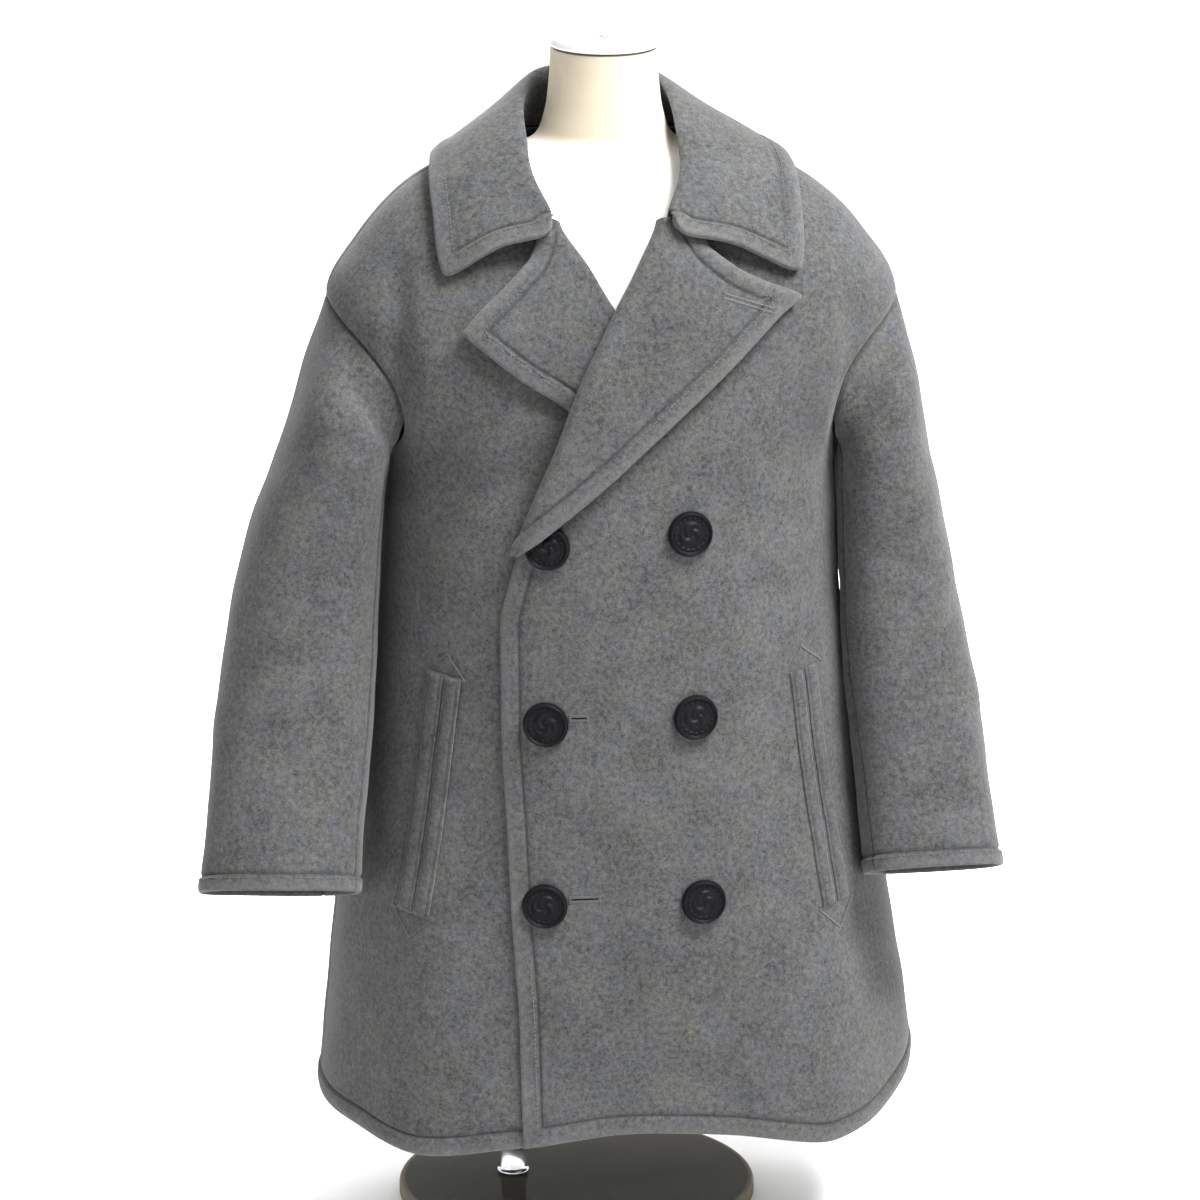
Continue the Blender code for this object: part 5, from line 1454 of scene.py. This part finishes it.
def on_lapel(x, z):
    """The left lapel's visible face at x and z: the nearest points of its outer grid, and their normals."""
    grid = left_facing_outer.reshape(-1, 3)
    normal = grid_normals(left_facing_outer).reshape(-1, 3)
    nearest = ((x[:, None] - grid[None, :, 0]) ** 2 + (z[:, None] - grid[None, :, 2]) ** 2).argmin(1)
    out = normal[nearest]
    out = np.where(out[:, 1:2] > 0.0, -out, out)
    off_x, off_z = x - grid[nearest, 0], z - grid[nearest, 2]
    y = grid[nearest, 1] - (off_x * out[:, 0] + off_z * out[:, 2]) / out[:, 1]
    return np.stack([x, y, z], -1), out


def hole_frame(hole):
    """Start of a buttonhole, the way along it and the way across it, in x and z."""
    slope = radians(hole.slope)
    along = np.array([np.cos(slope), np.sin(slope)])
    return np.array([hole.x, hole.z]), along, np.array([-along[1], along[0]])


def make_hole(hole, surface):
    """The satin stitches of a buttonhole: a row down each side of it and a bar across each end."""
    start, along, aside = hole_frame(hole)
    aside = aside * HOLE_HALF
    bar = aside * BAR_REACH
    end = start + along * hole.length
    return [
        satin(start + aside, end + aside, HOLE_WIDTH, HOLE_LIFT, surface),
        satin(start - aside, end - aside, HOLE_WIDTH, HOLE_LIFT, surface),
        satin(start - bar, start + bar, BAR_WIDTH, HOLE_LIFT + BAR_LIFT, surface),
        satin(end - bar, end + bar, BAR_WIDTH, HOLE_LIFT + BAR_LIFT, surface),
    ]


def hole_slit(hole, surface):
    """The shade in a buttonhole's opening, painted as a near-black narrow strip that narrows to both ends."""
    start, along, aside = hole_frame(hole)
    steps = np.linspace(0.0, 1.0, SLIT_ROWS), np.linspace(-1.0, 1.0, SLIT_COLUMNS)
    share, across = np.meshgrid(*steps, indexing="ij")
    width = SLIT_HALF * np.sin(pi * np.clip(share, 0.02, 0.98)) ** 0.4
    flat = start + along * (share * hole.length)[..., None] + aside * (across * width)[..., None]
    points, out = surface(flat[..., 0].ravel(), flat[..., 1].ravel())
    top = points + out * (HOLE_LIFT + SLIT_RISE)
    under = points + out * (HOLE_LIFT - SLIT_DEPTH)
    index = np.arange(share.size).reshape(share.shape)
    quads = np.stack([index[:-1, :-1], index[:-1, 1:], index[1:, 1:], index[1:, :-1]], -1).reshape(-1, 4)
    ring = np.concatenate([index[:, 0], index[-1, 1:], index[-2::-1, -1], index[0, -2:0:-1]])
    sides = np.stack([ring, np.roll(ring, -1), np.roll(ring, -1) + index.size, ring + index.size], -1)
    faces = np.concatenate([quads, quads[:, ::-1] + index.size, sides])
    return np.concatenate([top, under]), faces.tolist()


def settled(creases, side):
    """The face of one side's front with its creases and dimples, as a surface of x and z."""

    def surface(x, z):
        points, out = on_front(x, z)
        height = creased(points, creases, side) + waves(points)
        return points + out * height[:, None], out

    return surface


satin_rows = []
slits = []
left_surface = settled(LEFT_CREASES, 1.0)
for hole in BUTTONHOLES:
    satin_rows += make_hole(hole, left_surface)
    slits.append(hole_slit(hole, left_surface))
satin_rows += make_hole(LAPEL_HOLE, on_lapel)


# Triangles of satin stitches that close the pockets' ends: the base lies on the mouth's end, and the point
# looks up at the top end and down at the bottom end.
TACK_HALF, TACK_HEIGHT, TACK_GAP, TACK_WIDTH = 0.0155, 0.0175, 0.0004, 0.0017
BASE_LIFT, ARM_LIFT = 0.0004, 0.0003

for side_name, surface in (("left", left_surface), ("right", settled(RIGHT_CREASES, -1.0))):
    top, down, across, length = mouth_frame(WELT_MOUTHS[side_name])
    for end, outwards in ((top, -down), (top + down * length, down)):
        base = end + outwards * TACK_GAP
        left_corner, right_corner = base - across * TACK_HALF, base + across * TACK_HALF
        point = base + outwards * TACK_HEIGHT
        satin_rows.append(satin(left_corner, right_corner, TACK_WIDTH, BASE_LIFT, surface))
        satin_rows.append(satin(left_corner, point, TACK_WIDTH, ARM_LIFT, surface))
        satin_rows.append(satin(right_corner, point, TACK_WIDTH, ARM_LIFT, surface))
satin_thread = add_piece("satin_stitches", *gathered(satin_rows), thread)
placed(satin_thread)

# Painted shade: the buttonholes' openings are near-black strips, with a little random tone.
shadow = Finish("slit_shadow", Roughness=1.0, Specular_IOR_Level=0.0)
shadow_mottle = shadow.noise(shadow.places(), 900.0)
shadow.feed(Base_Color=shadow.between(shadow_mottle, (0.0015, 0.0015, 0.0018, 1.0), (0.0050, 0.0050, 0.0055, 1.0)))
hole_slits = add_piece("buttonhole_slit_shadows", *gathered(slits), shadow)
placed(hole_slits)


# ---- Buttons ---------------------------------------------------------------------------------------------
# Six near-black moulded buttons on thread shanks: a raised rim, a twisted ring inside it and a plain swirl
# in the middle. Three close the left front beside its edge, and three match them.
BUTTON_RADIUS, BUTTON_HEIGHT = 0.0183, 0.0050
BUTTON_STANDOFF = 0.0016
BUTTONS = {
    "top_right": (-0.0630, 0.5980, 0.2),
    "top_left": (0.0497, 0.6075, 1.1),
    "middle_right": (-0.0650, 0.4550, -0.3),
    "middle_left": (0.0540, 0.4590, 0.6),
    "bottom_right": (-0.0667, 0.3065, 0.9),
    "bottom_left": (0.0605, 0.3075, -0.7),
}
BUTTON_SIDES, SHANK_SIDES = 96, 20
BUTTON_ZONES = (np.linspace(0.03, 0.60, 20), np.linspace(0.62, 0.86, 14), np.linspace(0.875, 1.0, 8))
BUTTON_SHARES = np.concatenate(BUTTON_ZONES)
BUTTON_FOOT = ((0.985, 0.24), (0.93, 0.08), (0.80, 0.0), (0.16, 0.0))  # shares of its radius and its height
SHANK = ((0.0, 0.0022), (0.0026, 0.0022), (0.0022, 0.0010), (0.0030, -0.0010), (0.0, -0.0010))

black_horn = Finish("black_button", Specular_IOR_Level=0.05)
place = black_horn.places()
grainy = black_horn.noise(place, 700.0, 3.0, 0.6)
scuff = black_horn.noise(place, 150.0, 3.0, 0.65)
black_horn.feed(
    Base_Color=black_horn.between(scuff, (0.0016, 0.0016, 0.0022, 1.0), (0.0055, 0.0054, 0.0066, 1.0)),
    Roughness=0.36 + scuff * 0.24,
)
black_horn.bump(grainy, 0.00005, 0.6)


def button_top(share, around):
    """Height of a button's face: a dish, a raised round rim, a ring of slanted ribs inside the rim, and a low
    boss with a swirl of three ridges in the middle, all in shares of the button's height."""
    rim = 0.44 * hump(share - 0.89, 0.055)
    twist = 0.24 * hump(share - 0.70, 0.055) * (0.5 + 0.5 * np.sin(18.0 * around + 14.0 * share))
    swirl = 0.16 * (1.0 + np.sin(3.0 * around + 15.0 * share)) * ramp(share, 0.04, 0.20)
    middle = 0.10 + swirl * (1.0 - ramp(share, 0.44, 0.56))
    return 0.46 + rim + twist + middle * (1.0 - ramp(share, 0.50, 0.60)) - 0.5 * ramp(share, 0.93, 1.0) ** 2


def make_button(name, x, z, spin):
    """A button that faces out of the front at x and z, turned by spin. Gives its thread shank."""
    foot_shares, foot_heights = np.array(BUTTON_FOOT).T
    around = np.linspace(0.0, 2.0 * pi, BUTTON_SIDES, endpoint=False)
    shares, arounds = np.meshgrid(np.concatenate([BUTTON_SHARES, foot_shares]), around, indexing="ij")
    top_rows = len(BUTTON_SHARES)
    top = button_top(shares[:top_rows], arounds[:top_rows])
    foot = np.repeat(foot_heights[:, None], BUTTON_SIDES, axis=1)
    heights = BUTTON_HEIGHT * np.concatenate([top, foot]) + BUTTON_STANDOFF
    place, normal = on_front(np.array([x]), np.array([z]))
    sideways = np.cross((0.0, 0.0, 1.0), normal[0])
    sideways = sideways / np.linalg.norm(sideways)
    upwards = np.cross(normal[0], sideways)

    def seated(local):
        """Points given across, up and out from the button's place on the front."""
        return place[0] + local[..., :1] * sideways + local[..., 1:2] * upwards + local[..., 2:] * normal[0]

    radius, turn = BUTTON_RADIUS * shares, arounds + spin
    local = np.stack([radius * np.cos(turn), radius * np.sin(turn), heights], -1)
    placed(add_piece(f"moulded_{name}", *barrel(seated(local)), black_horn), name)
    shank, shank_faces = turned(SHANK, SHANK_SIDES)
    return seated(shank), shank_faces


shanks = [make_button(f"button_{name}", *spot) for name, spot in BUTTONS.items()]
button_shanks = add_piece("thread_shanks", *gathered(shanks), thread)
placed(button_shanks)


# ---- Floor, light and camera -----------------------------------------------------------------------------
# A plain pale floor under soft white light, the strongest lamp high on the right, and a long lens in front,
# higher than the coat and looking a little down at it.
FLOOR_HALF = 30.0
paper = Finish("pale_floor", Roughness=0.9, Specular_IOR_Level=0.2)
fibres = paper.noise(paper.places(), 3.0)
paper.feed(Base_Color=paper.between(fibres, (0.90, 0.90, 0.90, 1.0), (0.92, 0.92, 0.92, 1.0)))
floor_points = np.array([(x, y, 0.0) for x, y in ((-1, -1), (1, -1), (1, 1), (-1, 1))]) * FLOOR_HALF
floor = add_piece("floor", floor_points, [(0, 1, 2, 3)], paper)

world = bpy.data.worlds.new("studio")
bpy.context.scene.world = world
world.use_nodes = True
world.node_tree.nodes["Background"].inputs["Color"].default_value = (1.0, 1.0, 1.0, 1.0)
world.node_tree.nodes["Background"].inputs["Strength"].default_value = 1.0
bpy.context.scene.view_settings.view_transform = "Standard"

Lamp = namedtuple("Lamp", "name place size watts")
LAMPS = (
    Lamp("key", (1.3, -1.3, 3.4), 1.3, 560.0),
    Lamp("fill", (-2.6, -2.4, 1.7), 2.4, 20.0),
    Lamp("back", (0.4, 3.2, 3.2), 3.0, 160.0),
)
LAMP_TARGET = Vector((0.0, 0.0, 0.55))
for lamp in LAMPS:
    light = bpy.data.lights.new(lamp.name, "AREA")
    light.energy = lamp.watts
    light.size = lamp.size
    holder = bpy.data.objects.new(lamp.name, light)
    holder.location = lamp.place
    holder.rotation_euler = (LAMP_TARGET - Vector(lamp.place)).to_track_quat("-Z", "Y").to_euler()
    bpy.context.scene.collection.objects.link(holder)

CAMERA_PLACE = Vector((-0.3642, -4.0597, 1.5351))
CAMERA_TARGET = Vector((-0.009, 0.0, 0.519))
camera = bpy.data.objects.new("camera", bpy.data.cameras.new("camera"))
camera.data.sensor_width = 36.0
camera.data.lens = 153.66
camera.data.clip_end = 200.0
camera.location = CAMERA_PLACE
camera.rotation_euler = (CAMERA_TARGET - CAMERA_PLACE).to_track_quat("-Z", "Y").to_euler()
bpy.context.scene.collection.objects.link(camera)
bpy.context.scene.camera = camera
